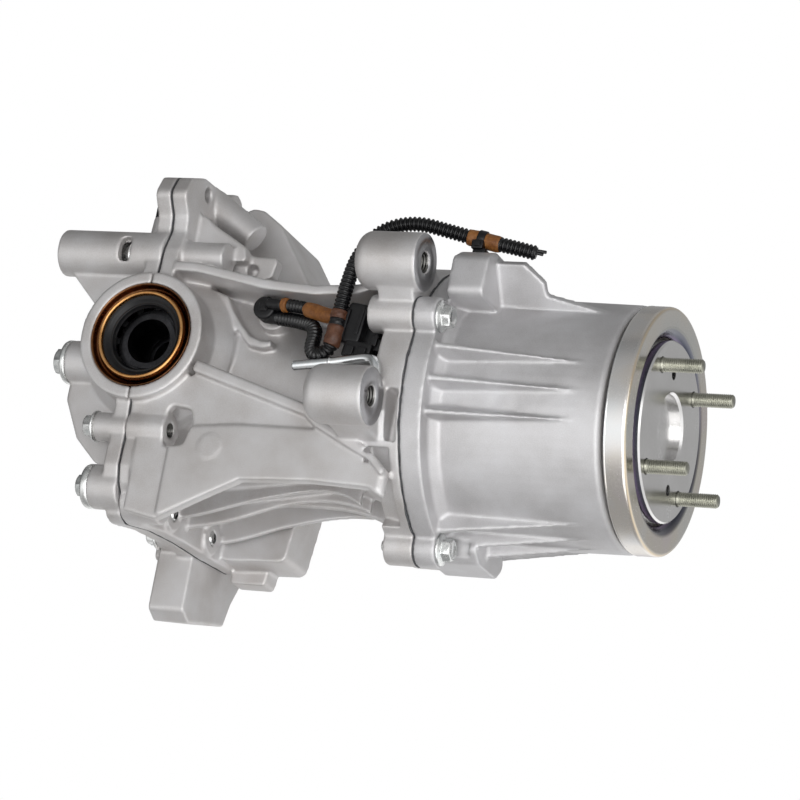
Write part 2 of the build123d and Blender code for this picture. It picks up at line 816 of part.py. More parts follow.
# Coupling housing
flange_front = seam_front + housing_flange_t
bearing_depth = 29.0
bearing_back = housing_front - bearing_depth
bearing_wall_t = 6.0
input_bearing_front = bearing_back + input_bearing[2]
housing_profile = [
    (housing_front, input_seal_r), (housing_front, housing_r - 3), (housing_front - 3, housing_r),
    (flange_front + 6, housing_root_r - 0.3), (flange_front, housing_root_r + 5),
    (flange_front, housing_flange_r), (seam_front, housing_flange_r),
    (seam_front, housing_inner_r), (housing_front - front_wall_t - 4, housing_inner_r),
    (housing_front - front_wall_t, housing_inner_r - 5),
    (housing_front - front_wall_t, input_bearing[1] + bearing_wall_t),
    (bearing_back, input_bearing[1] + bearing_wall_t),
    (bearing_back, input_bearing[1]), (input_bearing_front, input_bearing[1]),
    (input_bearing_front, input_bearing[1] - 8), (housing_front - input_seal_t, 37),
    (housing_front - input_seal_t, input_seal_r),
]
block_outline = [(-56, 58), (-56, block_top), (-80, block_top), (-92, 86), (-95, 58)]
block_front = -112.0
low_block = [(-14, -80), (-22, -96), (-10, -104), (24, -104), (34, -94), (28, -80)]
low_block_length = 37.0
rib_foot_r = 80.0
top_rib_drop = [(-92, top_rib_crest_r), (-79, 104), (-78, 95)]
rib_tip_half = (0.6, 0.3)

with BuildPart() as coupling:
    add(turned(Plane.XZ, Axis.X, housing_profile))
    for angle in near_ribs + low_ribs + far_ribs:
        for x, root, crest_half, crest in ((flange_front - 1, rib_root_half, rib_crest_half,
                                            rib_crest_r),
                                           (rib_tip_x, *rib_tip_half, housing_r - 0.3)):
            with BuildSketch(Plane.YZ.offset(x)):
                with BuildLine():
                    Polyline(beside_ray(rib_foot_r, -root, angle),
                             beside_ray(crest, -crest_half, angle),
                             beside_ray(crest, crest_half, angle),
                             beside_ray(rib_foot_r, root, angle), close=True)
                make_face()
        loft(ruled=True)
    with BuildSketch(radial_plane(top_rib)):
        with BuildLine():
            Polyline((flange_front - 1, rib_foot_r), (flange_front - 1, top_rib_crest_r),
                     *top_rib_drop, (rib_tip_x, housing_r - 0.4), (rib_tip_x, rib_foot_r),
                     close=True)
        make_face()
    extrude(amount=rib_t / 2, both=True)
    with BuildSketch(Plane.YZ.offset(seam_front)):
        for angle in housing_bolt_angles:
            with Locations(polar_yz(housing_bolt_circle_r, angle)):
                Circle(ear_r)
    extrude(amount=housing_flange_t)
    add(plate_x(flange_front, block_front - flange_front, block_outline, 6))
    add(plate_x(seam_front, low_block_length, low_block, 6))
    add(tube_x(seam_front - 1, housing_front - front_wall_t - 4, housing_inner_r),
        mode=Mode.SUBTRACT)
    add(tube_x(bearing_back, housing_front - front_wall_t, input_bearing[1] + bearing_wall_t,
               input_bearing[1]))
    with BuildSketch(Plane.YZ.offset(seam_front)):
        for angle in housing_bolt_angles:
            with Locations(polar_yz(housing_bolt_circle_r, angle)):
                Circle(bolt_r + bolt_hole_play)
    extrude(amount=housing_flange_t, mode=Mode.SUBTRACT)
    # Spot faces for the bolt heads
    with BuildSketch(Plane.YZ.offset(flange_front)):
        for angle in housing_bolt_angles:
            with Locations(polar_yz(housing_bolt_circle_r, angle)):
                Circle(bolt_flange_r + spot_face_play)
    extrude(amount=bolt_head_h + 8, mode=Mode.SUBTRACT)
save(coupling.part, "coupling_housing")

with BuildPart() as front_seal_bead:
    with BuildSketch(Plane.YZ.offset(carrier_front)):
        Circle(housing_flange_r)
        Circle(housing_inner_r, mode=Mode.SUBTRACT)
        for angle in housing_bolt_angles:
            with Locations(polar_yz(housing_bolt_circle_r, angle)):
                Circle(ear_r)
                Circle(bolt_r + gasket_hole_play, mode=Mode.SUBTRACT)
        Circle(housing_inner_r, mode=Mode.SUBTRACT)
    extrude(amount=gasket)
save(front_seal_bead.part, "front_gasket")

# Bolts of both seams
housing_bolts = Compound(children=[
    flange_bolt((flange_front, *polar_yz(housing_bolt_circle_r, angle)), (1, 0, 0),
                housing_bolt_grip)
    for angle in housing_bolt_angles
])
save(housing_bolts, "housing_bolts")
cover_bolts = Compound(children=[
    flange_bolt((cover_boss_back, y, z), (-1, 0, 0), cover_bolt_grip)
    for y, z in cover_bolt_places
])
save(cover_bolts, "cover_bolts")


# Gears
def involute(angle):
    return math.tan(angle) - angle


def bevel_gear(frame, teeth, mate, module, face, addendum, dedendum, thinning):
    """A straight bevel gear: its apex at the frame's origin, its axis the frame's Z, and the
    middle of one tooth towards the frame's X. The flanks are involutes of the back cone."""
    cone = math.atan(teeth / mate)
    distance = module * math.hypot(teeth, mate) / 2
    inner = 1 - face / distance
    virtual_r = module * teeth / 2 / math.cos(cone)
    press = math.radians(pressure_angle)
    base_r = virtual_r * math.cos(press)
    half_pitch = math.pi * module / 4 - thinning / 2
    flank = []
    for rise in (-dedendum, -dedendum * 0.45, addendum * 0.3, addendum):
        reach = max(virtual_r + rise * module, base_r)
        half = half_pitch / virtual_r + involute(press) - involute(math.acos(base_r / reach))
        flank.append((cone + math.atan(rise * module / distance), half / math.cos(cone)))

    def section(along):
        points = []
        for tooth in range(teeth):
            middle = 2 * math.pi * tooth / teeth
            sides = [(angle, middle - half) for angle, half in flank]
            sides += [(angle, middle + half) for angle, half in reversed(flank)]
            for angle, turn in sides:
                radius = along * math.tan(angle)
                points.append((radius * math.cos(turn), radius * math.sin(turn)))
        return points

    def cone_point(scale, rise):
        reach = distance * scale
        lift = rise * module * scale
        return (reach * math.cos(cone) - lift * math.sin(cone),
                reach * math.sin(cone) + lift * math.cos(cone))

    tip_in, tip_out = cone_point(inner, addendum), cone_point(1, addendum)
    root_in, root_out = cone_point(inner, -dedendum), cone_point(1, -dedendum)
    start = min(tip_in[0], root_in[0]) - 1
    end = max(tip_out[0], root_out[0]) + 1
    side = Plane(origin=frame.origin, x_dir=frame.z_dir, z_dir=frame.y_dir * -1)
    with BuildPart() as gear:
        for along in (start, end):
            with BuildSketch(frame.offset(along)):
                with BuildLine():
                    Polyline(*section(along), close=True)
                make_face()
        loft(ruled=True)
        with BuildSketch(side):
            with BuildLine():
                Polyline((root_in[0], 0), root_in, tip_in, tip_out, root_out, (root_out[0], 0),
                         close=True)
            make_face()
        revolve(axis=Axis(frame.origin, frame.z_dir), mode=Mode.INTERSECT)
    return gear.part, root_out[0]


mesh_ratio = pinion_teeth / ring_teeth
hypoid_module = 2 * mesh_outer / ring_teeth
mesh_cone = math.atan(mesh_ratio)
mesh_distance = mesh_outer / math.cos(mesh_cone)
hypoid_face = (mesh_outer - mesh_inner) / math.cos(mesh_cone)
pinion_frame = Plane(origin=(axle_x, 0, 0), x_dir=(0, 1, 0), z_dir=(1, 0, 0))
pinion_head, pinion_back = bevel_gear(
    pinion_frame, pinion_teeth, ring_teeth, hypoid_module, hypoid_face,
    pinion_addendum, ring_addendum + tooth_clearance, backlash / 2)

# Pinion shaft: the toothed head, two bearing seats, the nut's thread and the clutch hub's seat
hub_seat_r = 14.5
shaft_front = -66.0
spacer_seat_r = 16.5
nut_t = 10.0
with BuildPart() as pinion:
    add(pinion_head)
    add(tube_x(axle_x + pinion_back - 1, head_start, 26))
    add(tube_x(head_start - 1, head_end, pinion_head_bearing[0]))
    add(tube_x(head_end - 1, tail_start, spacer_seat_r))
    add(tube_x(tail_start - 1, tail_end, pinion_tail_bearing[0]))
    add(tube_x(tail_end - 1, shaft_front, hub_seat_r))
save(pinion.part, "drive_pinion")
save(tube_x(head_end, tail_start, spacer_seat_r + 3.5, spacer_seat_r), "pinion_spacer")
with BuildPart() as nut:
    with BuildSketch(Plane.YZ.offset(tail_end)):
        RegularPolygon(19, 6, major_radius=False)
        Circle(hub_seat_r, mode=Mode.SUBTRACT)
    extrude(amount=nut_t)
save(nut.part, "pinion_nut")

# Ring gear: each tooth space is a wedge whose lines meet at the foot of the offset
ring_face_r = math.hypot(mesh_outer, axle_z)
ring_inner_r = math.hypot(mesh_inner, axle_z)
ring_tip = mesh_cone - math.atan(ring_addendum * hypoid_module / mesh_distance)
ring_root = mesh_cone + math.atan((pinion_addendum + tooth_clearance) * hypoid_module
                                  / mesh_distance)


def ring_space(along):
    """Outline of one tooth space at a distance from the foot of the offset. The offset makes the
    ring's teeth run a little ahead of the pinion's, by the lead."""
    share = along / mesh_outer
    module = share * hypoid_module
    slope = math.tan(math.radians(ring_flank))
    deep = (pinion_addendum + tooth_clearance) * module
    proud = (ring_addendum + 1.0) * module
    half = math.pi * module / 4 + backlash / 4 * share
    root, top = along * math.tan(ring_root), along * math.tan(mesh_cone) - proud
    lead = ring_lead * share
    return [(root, lead + half - deep * slope), (top, lead + half + proud * slope),
            (top, lead - half - proud * slope), (root, lead - half + deep * slope)]


with BuildPart() as space:
    for along in (mesh_inner - 4, mesh_outer + 8):
        with BuildSketch(Plane.YZ.offset(axle_x + along)):
            with BuildLine():
                Polyline(*ring_space(along), close=True)
            make_face()
    loft(ruled=True)
tip_inner = mesh_inner * math.tan(ring_tip)
tip_outer = mesh_outer * math.tan(ring_tip)
with BuildPart() as ring:
    add(turned(axle_profile, axle, [
        (tip_inner + 4, ring_bore_r), (tip_inner, ring_inner_r), (tip_outer, ring_face_r),
        (ring_back - 4, ring_face_r), (ring_back, ring_face_r - 4), (ring_back, ring_bore_r)]))
    add([space.part.rotate(axle, 360 * tooth / ring_teeth) for tooth in range(ring_teeth)],
        mode=Mode.SUBTRACT)
    with BuildSketch(axle_plane(ring_back)):
        with PolarLocations(ring_bolt_circle_r, ring_bolt_count):
            Circle(ring_bolt_r)
    extrude(amount=-ring_bolt_depth, mode=Mode.SUBTRACT)
save(ring.part, "ring_gear")

# Differential case: journals, windows for fitting the gears, and the seat of the ring gear
with BuildPart() as case:
    with BuildSketch(axle_profile):
        with BuildLine():
            Polyline((-bearing_out, side_bearing[0]), (-side_bearing_in, side_bearing[0]),
                     (-side_bearing_in, case_shoulder_r), (-56, case_shoulder_r), (-47, 27),
                     (-36, case_r), (ring_back - ring_register, case_r),
                     (ring_back - ring_register, ring_bore_r), (ring_back, ring_bore_r),
                     (ring_back, case_flange_r), (ring_back + case_flange_t, case_flange_r),
                     (ring_back + case_flange_t, 40), (ring_back + case_flange_t + 2, 28),
                     (side_bearing_in, case_shoulder_r), (side_bearing_in, side_bearing[0]),
                     (bearing_out, side_bearing[0]), (bearing_out, case_bore_r),
                     (side_hub_end, case_bore_r), (side_hub_end, side_hub_r + shaft_clearance),
                     (side_seat, side_hub_r + shaft_clearance),
                     (side_seat, math.sqrt(case_inner_r ** 2 - side_seat ** 2)))
            ThreePointArc((side_seat, math.sqrt(case_inner_r ** 2 - side_seat ** 2)),
                          (0, case_inner_r),
                          (-side_seat, math.sqrt(case_inner_r ** 2 - side_seat ** 2)))
            Polyline((-side_seat, math.sqrt(case_inner_r ** 2 - side_seat ** 2)),
                     (-side_seat, side_hub_r + shaft_clearance),
                     (-side_hub_end, side_hub_r + shaft_clearance), (-side_hub_end, case_bore_r),
                     (-bearing_out, case_bore_r), (-bearing_out, side_bearing[0]))
        make_face()
    revolve(axis=axle)
    with BuildSketch(Plane(origin=(axle_x - case_r - 1, 0, axle_z), z_dir=(1, 0, 0),
                           x_dir=(0, 1, 0))):
        RectangleRounded(2 * window_w, 2 * window_h, 9)
    extrude(amount=2 * case_r + 2, mode=Mode.SUBTRACT)
    with BuildSketch(Plane(origin=(axle_x, 0, axle_z - case_r - 1))):
        Circle(spider_pin_r)
    extrude(amount=2 * case_r + 2, mode=Mode.SUBTRACT)
    with BuildSketch(axle_plane(-lock_pin_start)):
        with Locations((0, lock_pin_z)):
            Circle(lock_pin_r)
    extrude(amount=lock_pin_length, mode=Mode.SUBTRACT)
    with BuildSketch(axle_plane(ring_back)):
        with PolarLocations(ring_bolt_circle_r, ring_bolt_count):
            Circle(ring_bolt_r + shaft_clearance)
    extrude(amount=case_flange_t, mode=Mode.SUBTRACT)
save(case.part, "diff_case")

ring_bolt_seat = ring_back + case_flange_t
bolt_hex_r = 6.5
ring_bolts = []
for index in range(ring_bolt_count):
    turn = 2 * math.pi * index / ring_bolt_count
    with BuildPart() as bolt:
        with BuildSketch(axle_plane(ring_bolt_seat)):
            with Locations((ring_bolt_circle_r * math.cos(turn),
                            ring_bolt_circle_r * math.sin(turn))):
                RegularPolygon(bolt_hex_r, 6, major_radius=False)
        extrude(amount=ring_bolt_head)
        with BuildSketch(axle_plane(ring_bolt_seat)):
            with Locations((ring_bolt_circle_r * math.cos(turn),
                            ring_bolt_circle_r * math.sin(turn))):
                Circle(ring_bolt_r - shaft_clearance)
        extrude(amount=1 - case_flange_t - ring_bolt_depth)
    ring_bolts.append(bolt.part)
save(Compound(children=ring_bolts), "ring_bolts")

# Bevel gears of the differential: side gears on the axle, spider gears on the cross pin
centre = (axle_x, 0, axle_z)
for side, name in ((-1, "side_gear_left"), (1, "side_gear_right")):
    teeth_part, back = bevel_gear(
        Plane(origin=centre, x_dir=(0, 0, 1), z_dir=(0, side, 0)), side_teeth, spider_teeth,
        bevel_module, bevel_face, bevel_addendum, bevel_dedendum, bevel_backlash)
    with BuildPart() as gear:
        add(teeth_part)
        add(turned(axle_profile, axle, [
            (side * (back - 1), 0), (side * (back - 1), side_hub_r), (side * back, side_back_r),
            (side * side_back, side_back_r), (side * side_back, side_hub_r),
            (side * side_hub_length, side_hub_r), (side * side_hub_length, 0)]))
        with BuildSketch(axle_plane(-60)):
            Circle(output_bore_r)
        extrude(amount=120, mode=Mode.SUBTRACT)
    save(gear.part, name)
half_step = math.pi / spider_teeth
for side, name in ((1, "spider_gear_upper"), (-1, "spider_gear_lower")):
    teeth_part, back = bevel_gear(
        Plane(origin=centre, x_dir=(math.sin(half_step), math.cos(half_step), 0),
              z_dir=(0, 0, side)), spider_teeth, side_teeth,
        bevel_module, bevel_face, bevel_addendum, bevel_dedendum, bevel_backlash)
    with BuildPart() as gear:
        add(teeth_part)
        with BuildSketch(Plane(origin=(axle_x, 0, axle_z + side * back), z_dir=(0, 0, side))):
            Circle(spider_back_r)
        extrude(amount=20)
        with BuildSketch(Plane.XZ):
            with BuildLine():
                Line((axle_x, axle_z - spider_seat_r), (axle_x, axle_z + spider_seat_r))
                ThreePointArc((axle_x, axle_z + spider_seat_r),
                              (axle_x + spider_seat_r, axle_z),
                              (axle_x, axle_z - spider_seat_r))
            make_face()
        revolve(axis=Axis(centre, (0, 0, 1)), mode=Mode.INTERSECT)
        with BuildSketch(Plane(origin=(axle_x, 0, axle_z - 40))):
            Circle(spider_pin_r + shaft_clearance)
        extrude(amount=80, mode=Mode.SUBTRACT)
    save(gear.part, name)
with BuildPart() as cross_pin:
    with BuildSketch(Plane(origin=(axle_x, 0, axle_z - spider_pin_half))):
        Circle(spider_pin_r)
    extrude(amount=2 * spider_pin_half)
    chamfer(cross_pin.edges().filter_by(GeomType.CIRCLE), 0.8)
    with BuildSketch(axle_plane(-spider_pin_r - 1)):
        with Locations((0, lock_pin_z)):
            Circle(lock_pin_r)
    extrude(amount=2 * spider_pin_r + 2, mode=Mode.SUBTRACT)
save(cross_pin.part, "spider_pin")
with BuildPart() as key:
    with BuildSketch(axle_plane(-lock_pin_start)):
        with Locations((0, lock_pin_z)):
            Circle(lock_pin_r)
    extrude(amount=lock_pin_length)
save(key.part, "lock_pin")



def washer_point(reach, half, side):
    """A point of the domed washer's outline, on a sphere about the middle of the differential."""
    return (axle_x + half, axle_z + side * math.sqrt(reach ** 2 - half ** 2))


# Thrust washers: flat ones behind the side gears, domed ones behind the spider gears
washers = [tube_axle(side * side_back, side * side_seat, side_back_r,
                     side_hub_r + shaft_clearance) for side in (-1, 1)]
for side in (1, -1):
    with BuildPart() as washer:
        with BuildSketch(Plane.XZ):
            bore, rim = spider_pin_r + shaft_clearance, spider_back_r - 1
            ends = [[washer_point(reach, half, side) for half in (bore, (bore + rim) / 2, rim)]
                    for reach in (spider_seat_r, case_inner_r - shaft_clearance)]
            with BuildLine():
                for start, middle, end in ends:
                    ThreePointArc(start, middle, end)
                for side_end in (0, 2):
                    Line(ends[0][side_end], ends[1][side_end])
            make_face()
        revolve(axis=Axis(centre, (0, 0, 1)))
    washers.append(washer.part)
save(Compound(children=washers), "thrust_washers")


# Bearings and seals
def race_point(bearing, along, swing):
    """A race's radius at a place along the bearing, on a cone with the rollers' common apex."""
    middle_r = (bearing[0] + bearing[1]) / 2
    apex = middle_r / math.tan(math.radians(roller_tilt))
    return (apex + bearing[2] / 2 - along) * math.tan(math.radians(roller_tilt) + swing)


def taper_bearing(frame, bearing):
    """Cup, cone and rollers of a taper roller bearing whose wide end is at the frame's origin
    and whose small end is along the frame's Z."""
    bore, outer, width = bearing
    middle_r = (bore + outer) / 2
    apex = middle_r / math.tan(math.radians(roller_tilt))
    roller_half = math.atan(roller_share * (outer - bore) / 2 / math.hypot(apex, middle_r))
    race_half = roller_half + race_clearance / apex
    axis = Axis(frame.origin, frame.z_dir)
    profile = Plane(origin=frame.origin, x_dir=frame.z_dir, z_dir=frame.y_dir * -1)
    lip = 2.0
    cone_ring = turned(profile, axis, [
        (0, bore), (0, race_point(bearing, lip, -race_half) + 2.2),
        (lip, race_point(bearing, lip, -race_half) + 1.8),
        (lip, race_point(bearing, lip, -race_half)),
        (width - lip, race_point(bearing, width - lip, -race_half)), (width - lip, bore)])
    cup_start = width * 0.18
    cup_ring = turned(profile, axis, [
        (cup_start, outer), (cup_start, race_point(bearing, cup_start, race_half)),
        (width, race_point(bearing, width, race_half)), (width, outer)])
    tilt = math.radians(roller_tilt)
    start = (apex + width / 2 - lip - race_clearance) / math.cos(tilt) * 0.985
    length = width * 0.62
    rollers = []
    for index in range(roller_count):
        turn = 2 * math.pi * index / roller_count
        outward = frame.x_dir * math.cos(turn) + frame.y_dir * math.sin(turn)
        tip = frame.origin + frame.z_dir * (apex + width / 2)
        along = outward * math.sin(tilt) - frame.z_dir * math.cos(tilt)
        with BuildPart() as roller:
            for reach in (start, start - length):
                with BuildSketch(Plane(origin=tip + along * reach, z_dir=along)):
                    Circle(reach * math.tan(roller_half))
            loft()
        rollers.append(roller.part)
    return cup_ring, cone_ring, rollers


def lip_seal(frame, outer, lip, thickness):
    """A shaft seal seen from outside at the frame's origin, its depth along the frame's Z."""
    profile = Plane(origin=frame.origin, x_dir=frame.z_dir, z_dir=frame.y_dir * -1)
    web = thickness - 2.4
    return turned(profile, Axis(frame.origin, frame.z_dir), [
        (0.6, outer), (0, outer - 0.6), (0, outer - 3.2), (web, outer - 3.8),
        (web, outer - 4.6), (thickness * 0.25, outer - 5.0), (thickness * 0.25, outer - 6.4),
        (web, outer - 6.8), (web, lip + 2.6), (thickness * 0.35, lip + 1.6),
        (thickness * 0.35, lip + 0.4), (thickness * 0.6, lip), (thickness, lip + 1.4),
        (thickness, outer)])


forward = Plane(origin=(head_start, 0, 0), x_dir=(0, 1, 0), z_dir=(1, 0, 0))
backward = Plane(origin=(tail_end, 0, 0), x_dir=(0, 1, 0), z_dir=(-1, 0, 0))
for frame, bearing, name in ((forward, pinion_head_bearing, "head_bearing"),
                             (backward, pinion_tail_bearing, "tail_bearing")):
    cup_ring, cone_ring, rollers = taper_bearing(frame, bearing)
    save(cup_ring, f"{name}_cup")
    save(cone_ring, f"{name}_cone")
    save(Compound(children=rollers), f"{name}_rollers")
side_cups, side_cones, side_rollers = [], [], []
for side in (-1, 1):
    cup_ring, cone_ring, rollers = taper_bearing(
        Plane(origin=(axle_x, side * side_bearing_in, axle_z), x_dir=(1, 0, 0),
              z_dir=(0, side, 0)), side_bearing)
    side_cups.append(cup_ring)
    side_cones.append(cone_ring)
    side_rollers += rollers
save(Compound(children=side_cups), "side_bearing_cups")
save(Compound(children=side_cones), "side_bearing_cones")
save(Compound(children=side_rollers), "side_bearing_rollers")

save(lip_seal(Plane(origin=(carrier_wall_front - 4, 0, 0), z_dir=(-1, 0, 0)), pinion_seal_r,
              hub_seat_r + shaft_clearance, output_seal_t), "pinion_seal")
save(lip_seal(Plane(origin=(housing_front, 0, 0), z_dir=(-1, 0, 0)), input_seal_r,
              neck_r + shaft_clearance, input_seal_t), "input_seal")
save(Compound(children=[
    lip_seal(Plane(origin=(axle_x, end, axle_z), z_dir=(0, side, 0)), output_seal_r,
             output_seal_lip_r, output_seal_t)
    for end, side in ((output_left, 1), (output_right, -1))
]), "output_seals")

# Input flange, its studs and its dust cover
spigot_end = drum_front - drum_front_t
with BuildPart() as flange:
    add(turned(Plane.XZ, Axis.X, [
        (spigot_end, hub_nose_r + shaft_clearance), (spigot_end, spigot_r),
        (drum_front, spigot_r), (drum_front, neck_r), (-flange_t, neck_r),
        (-flange_t, flange_r - flange_edge), (-flange_t + flange_edge, flange_r),
        (-flange_edge, flange_r), (0, flange_r - flange_edge), (0, pilot_r + pilot_edge),
        (-pilot_edge, pilot_r), (-pilot_depth, pilot_r), (-pilot_depth, 0), (flange_web, 0),
        (flange_web, hub_nose_r + shaft_clearance)]))
    with BuildSketch(Plane.YZ.offset(-flange_t)):
        with PolarLocations(stud_circle_r, 4, start_angle=45):
            Circle(stud_knurl_r)
    extrude(amount=flange_t, mode=Mode.SUBTRACT)
    with BuildSketch(Plane.YZ.offset(-flange_t)):
        for angle in puller_hole_angles:
            with Locations(polar_yz(puller_circle_r, angle)):
                Circle(puller_hole_r)
    extrude(amount=flange_t, mode=Mode.SUBTRACT)
save(flange.part, "input_flange")

studs = []
for index in range(4):
    y, z = polar_yz(stud_circle_r, 45 + 90 * index)
    with BuildPart() as stud:
        with BuildSketch(Plane.YZ.offset(-flange_t)):
            with Locations((y, z)):
                Circle(stud_knurl_r)
        extrude(amount=flange_t)
        with BuildSketch(Plane.YZ):
            with Locations((y, z)):
                Circle(stud_r)
        extrude(amount=stud_out)
        chamfer(stud.edges().filter_by(GeomType.CIRCLE).sort_by(Axis.X)[-1], 1.2)
    studs.append(stud.part)
save(Compound(children=studs), "input_studs")

with BuildPart() as dust:
    with BuildSketch(Plane.XZ) as sheet:
        with BuildLine():
            Polyline((cover_back, cover_r), (cover_front, cover_r), (cover_front, cover_lip_r),
                     (-flange_t, cover_lip_r - 3), (-flange_t, neck_r),
                     (-flange_t - cover_sheet, neck_r),
                     (-flange_t - cover_sheet, cover_lip_r - 2),
                     (cover_front - cover_sheet, cover_lip_r + 1.2),
                     (cover_front - cover_sheet, cover_r - cover_sheet),
                     (cover_back, cover_r - cover_sheet), close=True)
        make_face()
        fillet(sheet.vertices().group_by(Axis.X)[-1], cover_rounding)
    revolve(axis=Axis.X)
save(dust.part, "dust_cover")

# Ball bearing of the input shaft
bore, outer, width = input_bearing
ball_circle_r = (bore + outer) / 2
groove_r = ball_r + race_clearance / 2
for inner, rim, name in ((bore, ball_circle_r - land, "input_bearing_inner"),
                         (ball_circle_r + land, outer, "input_bearing_outer")):
    with BuildPart() as race:
        with BuildSketch(Plane.XZ):
            with Locations((bearing_back + width / 2, (inner + rim) / 2)):
                Rectangle(width, rim - inner)
            with Locations((bearing_back + width / 2, ball_circle_r)):
                Circle(groove_r, mode=Mode.SUBTRACT)
        revolve(axis=Axis.X)
    save(race.part, name)
balls = []
for index in range(ball_count):
    y, z = polar_yz(ball_circle_r, 360 * index / ball_count)
    with BuildPart(Plane(origin=(bearing_back + width / 2, y, z))) as ball:
        Sphere(ball_r)
    balls.append(ball.part)
save(Compound(children=balls), "input_bearing_balls")

# Electromagnetic clutch: the drum turns with the flange, the hub with the pinion
drum_inner_r = drum_r - drum_wall


def lugged_disc(back, thickness, inner, outer, lug_from, lug_to):
    """A clutch disc or a drum's groove pattern: a ring with lugs between two radii."""
    with BuildPart() as disc:
        with BuildSketch(Plane.YZ.offset(back)):
            Circle(outer)
            with PolarLocations((lug_from + lug_to) / 2, lug_count):
                Rectangle(lug_to - lug_from, lug_w)
            Circle(inner, mode=Mode.SUBTRACT)
        extrude(amount=thickness)
    return disc.part


with BuildPart() as drum:
    add(turned(Plane.XZ, Axis.X, [
        (drum_front, spigot_r), (drum_front, drum_r - 2), (drum_front - 2, drum_r),
        (rotor_back, drum_r), (rotor_back, drum_inner_r), (spigot_end, drum_inner_r),
        (spigot_end, spigot_r)]))
    with BuildSketch(Plane.YZ.offset(rotor_back + rotor_t)):
        with PolarLocations(drum_inner_r + lug_h / 2, lug_count):
            Rectangle(lug_h + 2 * plate_gap, lug_w + plate_gap)
    extrude(amount=spigot_end - rotor_back - rotor_t, mode=Mode.SUBTRACT)
save(drum.part, "coupling_drum")

plate_pitch = plate_t + plate_gap
stack_front = spigot_end - plate_gap
outer_plates, inner_plates = [], []
for pair in range(main_plate_pairs):
    front = stack_front - 2 * pair * plate_pitch
    outer_plates.append(lugged_disc(
        front - plate_t, plate_t, hub_r + plate_overlap_in, drum_inner_r - plate_gap,
        plate_overlap_out, drum_inner_r + lug_h))
    inner_plates.append(lugged_disc(
        front - plate_pitch - plate_t, plate_t, hub_r, plate_overlap_out, hub_r + 1, hub_r + 6))
save(Compound(children=outer_plates), "outer_plates")
save(Compound(children=inner_plates), "inner_plates")

cam_front = stack_front - 2 * main_plate_pairs * plate_pitch
cam_back = cam_front - cam_t
ball_x = cam_back - cam_ball_gap / 2
pilot_cam_front = cam_back - cam_ball_gap
track_r = cam_ball_r + race_clearance / 2


def ball_place(angle):
    return Location((ball_x, *polar_yz(cam_ball_circle_r, angle)), (0, 90, 0))


with BuildPart() as cam:
    add(tube_x(cam_back, cam_front, plate_overlap_out, hub_r))
    with Locations(*[ball_place(360 * index / cam_balls) for index in range(cam_balls)]):
        Sphere(track_r, mode=Mode.SUBTRACT)
save(cam.part, "main_cam")
steel_balls = []
for index in range(cam_balls):
    with BuildPart(ball_place(360 * index / cam_balls)) as ball:
        Sphere(cam_ball_r)
    steel_balls.append(ball.part)
save(Compound(children=steel_balls), "cam_balls")
with BuildPart() as pilot:
    add(tube_x(pilot_cam_front - pilot_cam_t, pilot_cam_front, pilot_cam_r,
               hub_r + plate_gap))
    add(tube_x(rotor_back + rotor_t + plate_gap, pilot_cam_front - 1, pilot_sleeve_r,
               hub_r + plate_gap))
    # Each ball track is a short arc with round ends, so that the cam can turn a little
    for index in range(cam_balls):
        middle = 360 * index / cam_balls
        with BuildSketch(radial_plane(middle - cam_swing)):
            with Locations((ball_x, cam_ball_circle_r)):
                Circle(track_r)
        revolve(axis=Axis.X, revolution_arc=2 * cam_swing, mode=Mode.SUBTRACT)
        for angle in (middle - cam_swing, middle + cam_swing):
            with Locations(ball_place(angle)):
                Sphere(track_r, mode=Mode.SUBTRACT)
save(pilot.part, "pilot_cam")

pilot_plate_r = 40.0
rotor_front = rotor_back + rotor_t
pilot_stack = [lugged_disc(
    rotor_front + plate_gap + 2 * index * plate_pitch, plate_t, pilot_plate_r,
    drum_inner_r - plate_gap, plate_overlap_out, drum_inner_r + lug_h) for index in range(2)]
save(Compound(children=pilot_stack), "pilot_plates")
save(tube_x(rotor_front + plate_gap + plate_pitch,
            rotor_front + plate_gap + plate_pitch + plate_t,
            plate_overlap_out, pilot_sleeve_r), "pilot_inner_plate")
armature_back = rotor_front + plate_gap + 3 * plate_pitch
save(lugged_disc(armature_back, armature_t, pilot_plate_r, drum_inner_r - plate_gap,
                 plate_overlap_out, drum_inner_r + lug_h), "armature")

# Rotor: closes the drum and reaches back round the coil
save(turned(Plane.XZ, Axis.X, [
    (rotor_front, hub_r + plate_gap), (rotor_front, drum_inner_r), (rotor_back, drum_inner_r),
    (rotor_back, coil_outer_r + coil_gap), (rotor_front - rotor_rib_t, coil_outer_r + coil_gap),
    (rotor_front - rotor_rib_t, coil_inner_r - coil_gap), (rotor_back, coil_inner_r - coil_gap),
    (rotor_back, hub_r + plate_gap)]), "rotor")
save(tube_x(carrier_wall_front, rotor_front - rotor_rib_t - coil_gap, coil_outer_r,
            coil_inner_r), "coil")

save(turned(Plane.XZ, Axis.X, [
    (hub_back, hub_seat_r), (hub_back, hub_r), (hub_front, hub_r), (hub_front, hub_nose_r),
    (hub_front + hub_nose, hub_nose_r), (hub_front + hub_nose, 0), (shaft_front, 0),
    (shaft_front, hub_seat_r)]), "coupling_hub")

# Plugs and the two long bolts of the rear cover
def screw(seat, direction, thread_r, thread_length, flange, across_flats, head):
    """A screw or plug: thread radius and length, flange (radius, thickness), hexagon."""
    place = Plane(origin=seat, z_dir=direction)
    with BuildPart() as body:
        with BuildSketch(place):
            Circle(flange[0])
        extrude(amount=flange[1], taper=head_taper)
        with BuildSketch(place.offset(flange[1])):
            RegularPolygon(across_flats / 2, 6, major_radius=False)
        extrude(amount=head)
        with BuildSketch(place):
            Circle(thread_r)
        extrude(amount=-thread_length)
    return body.part


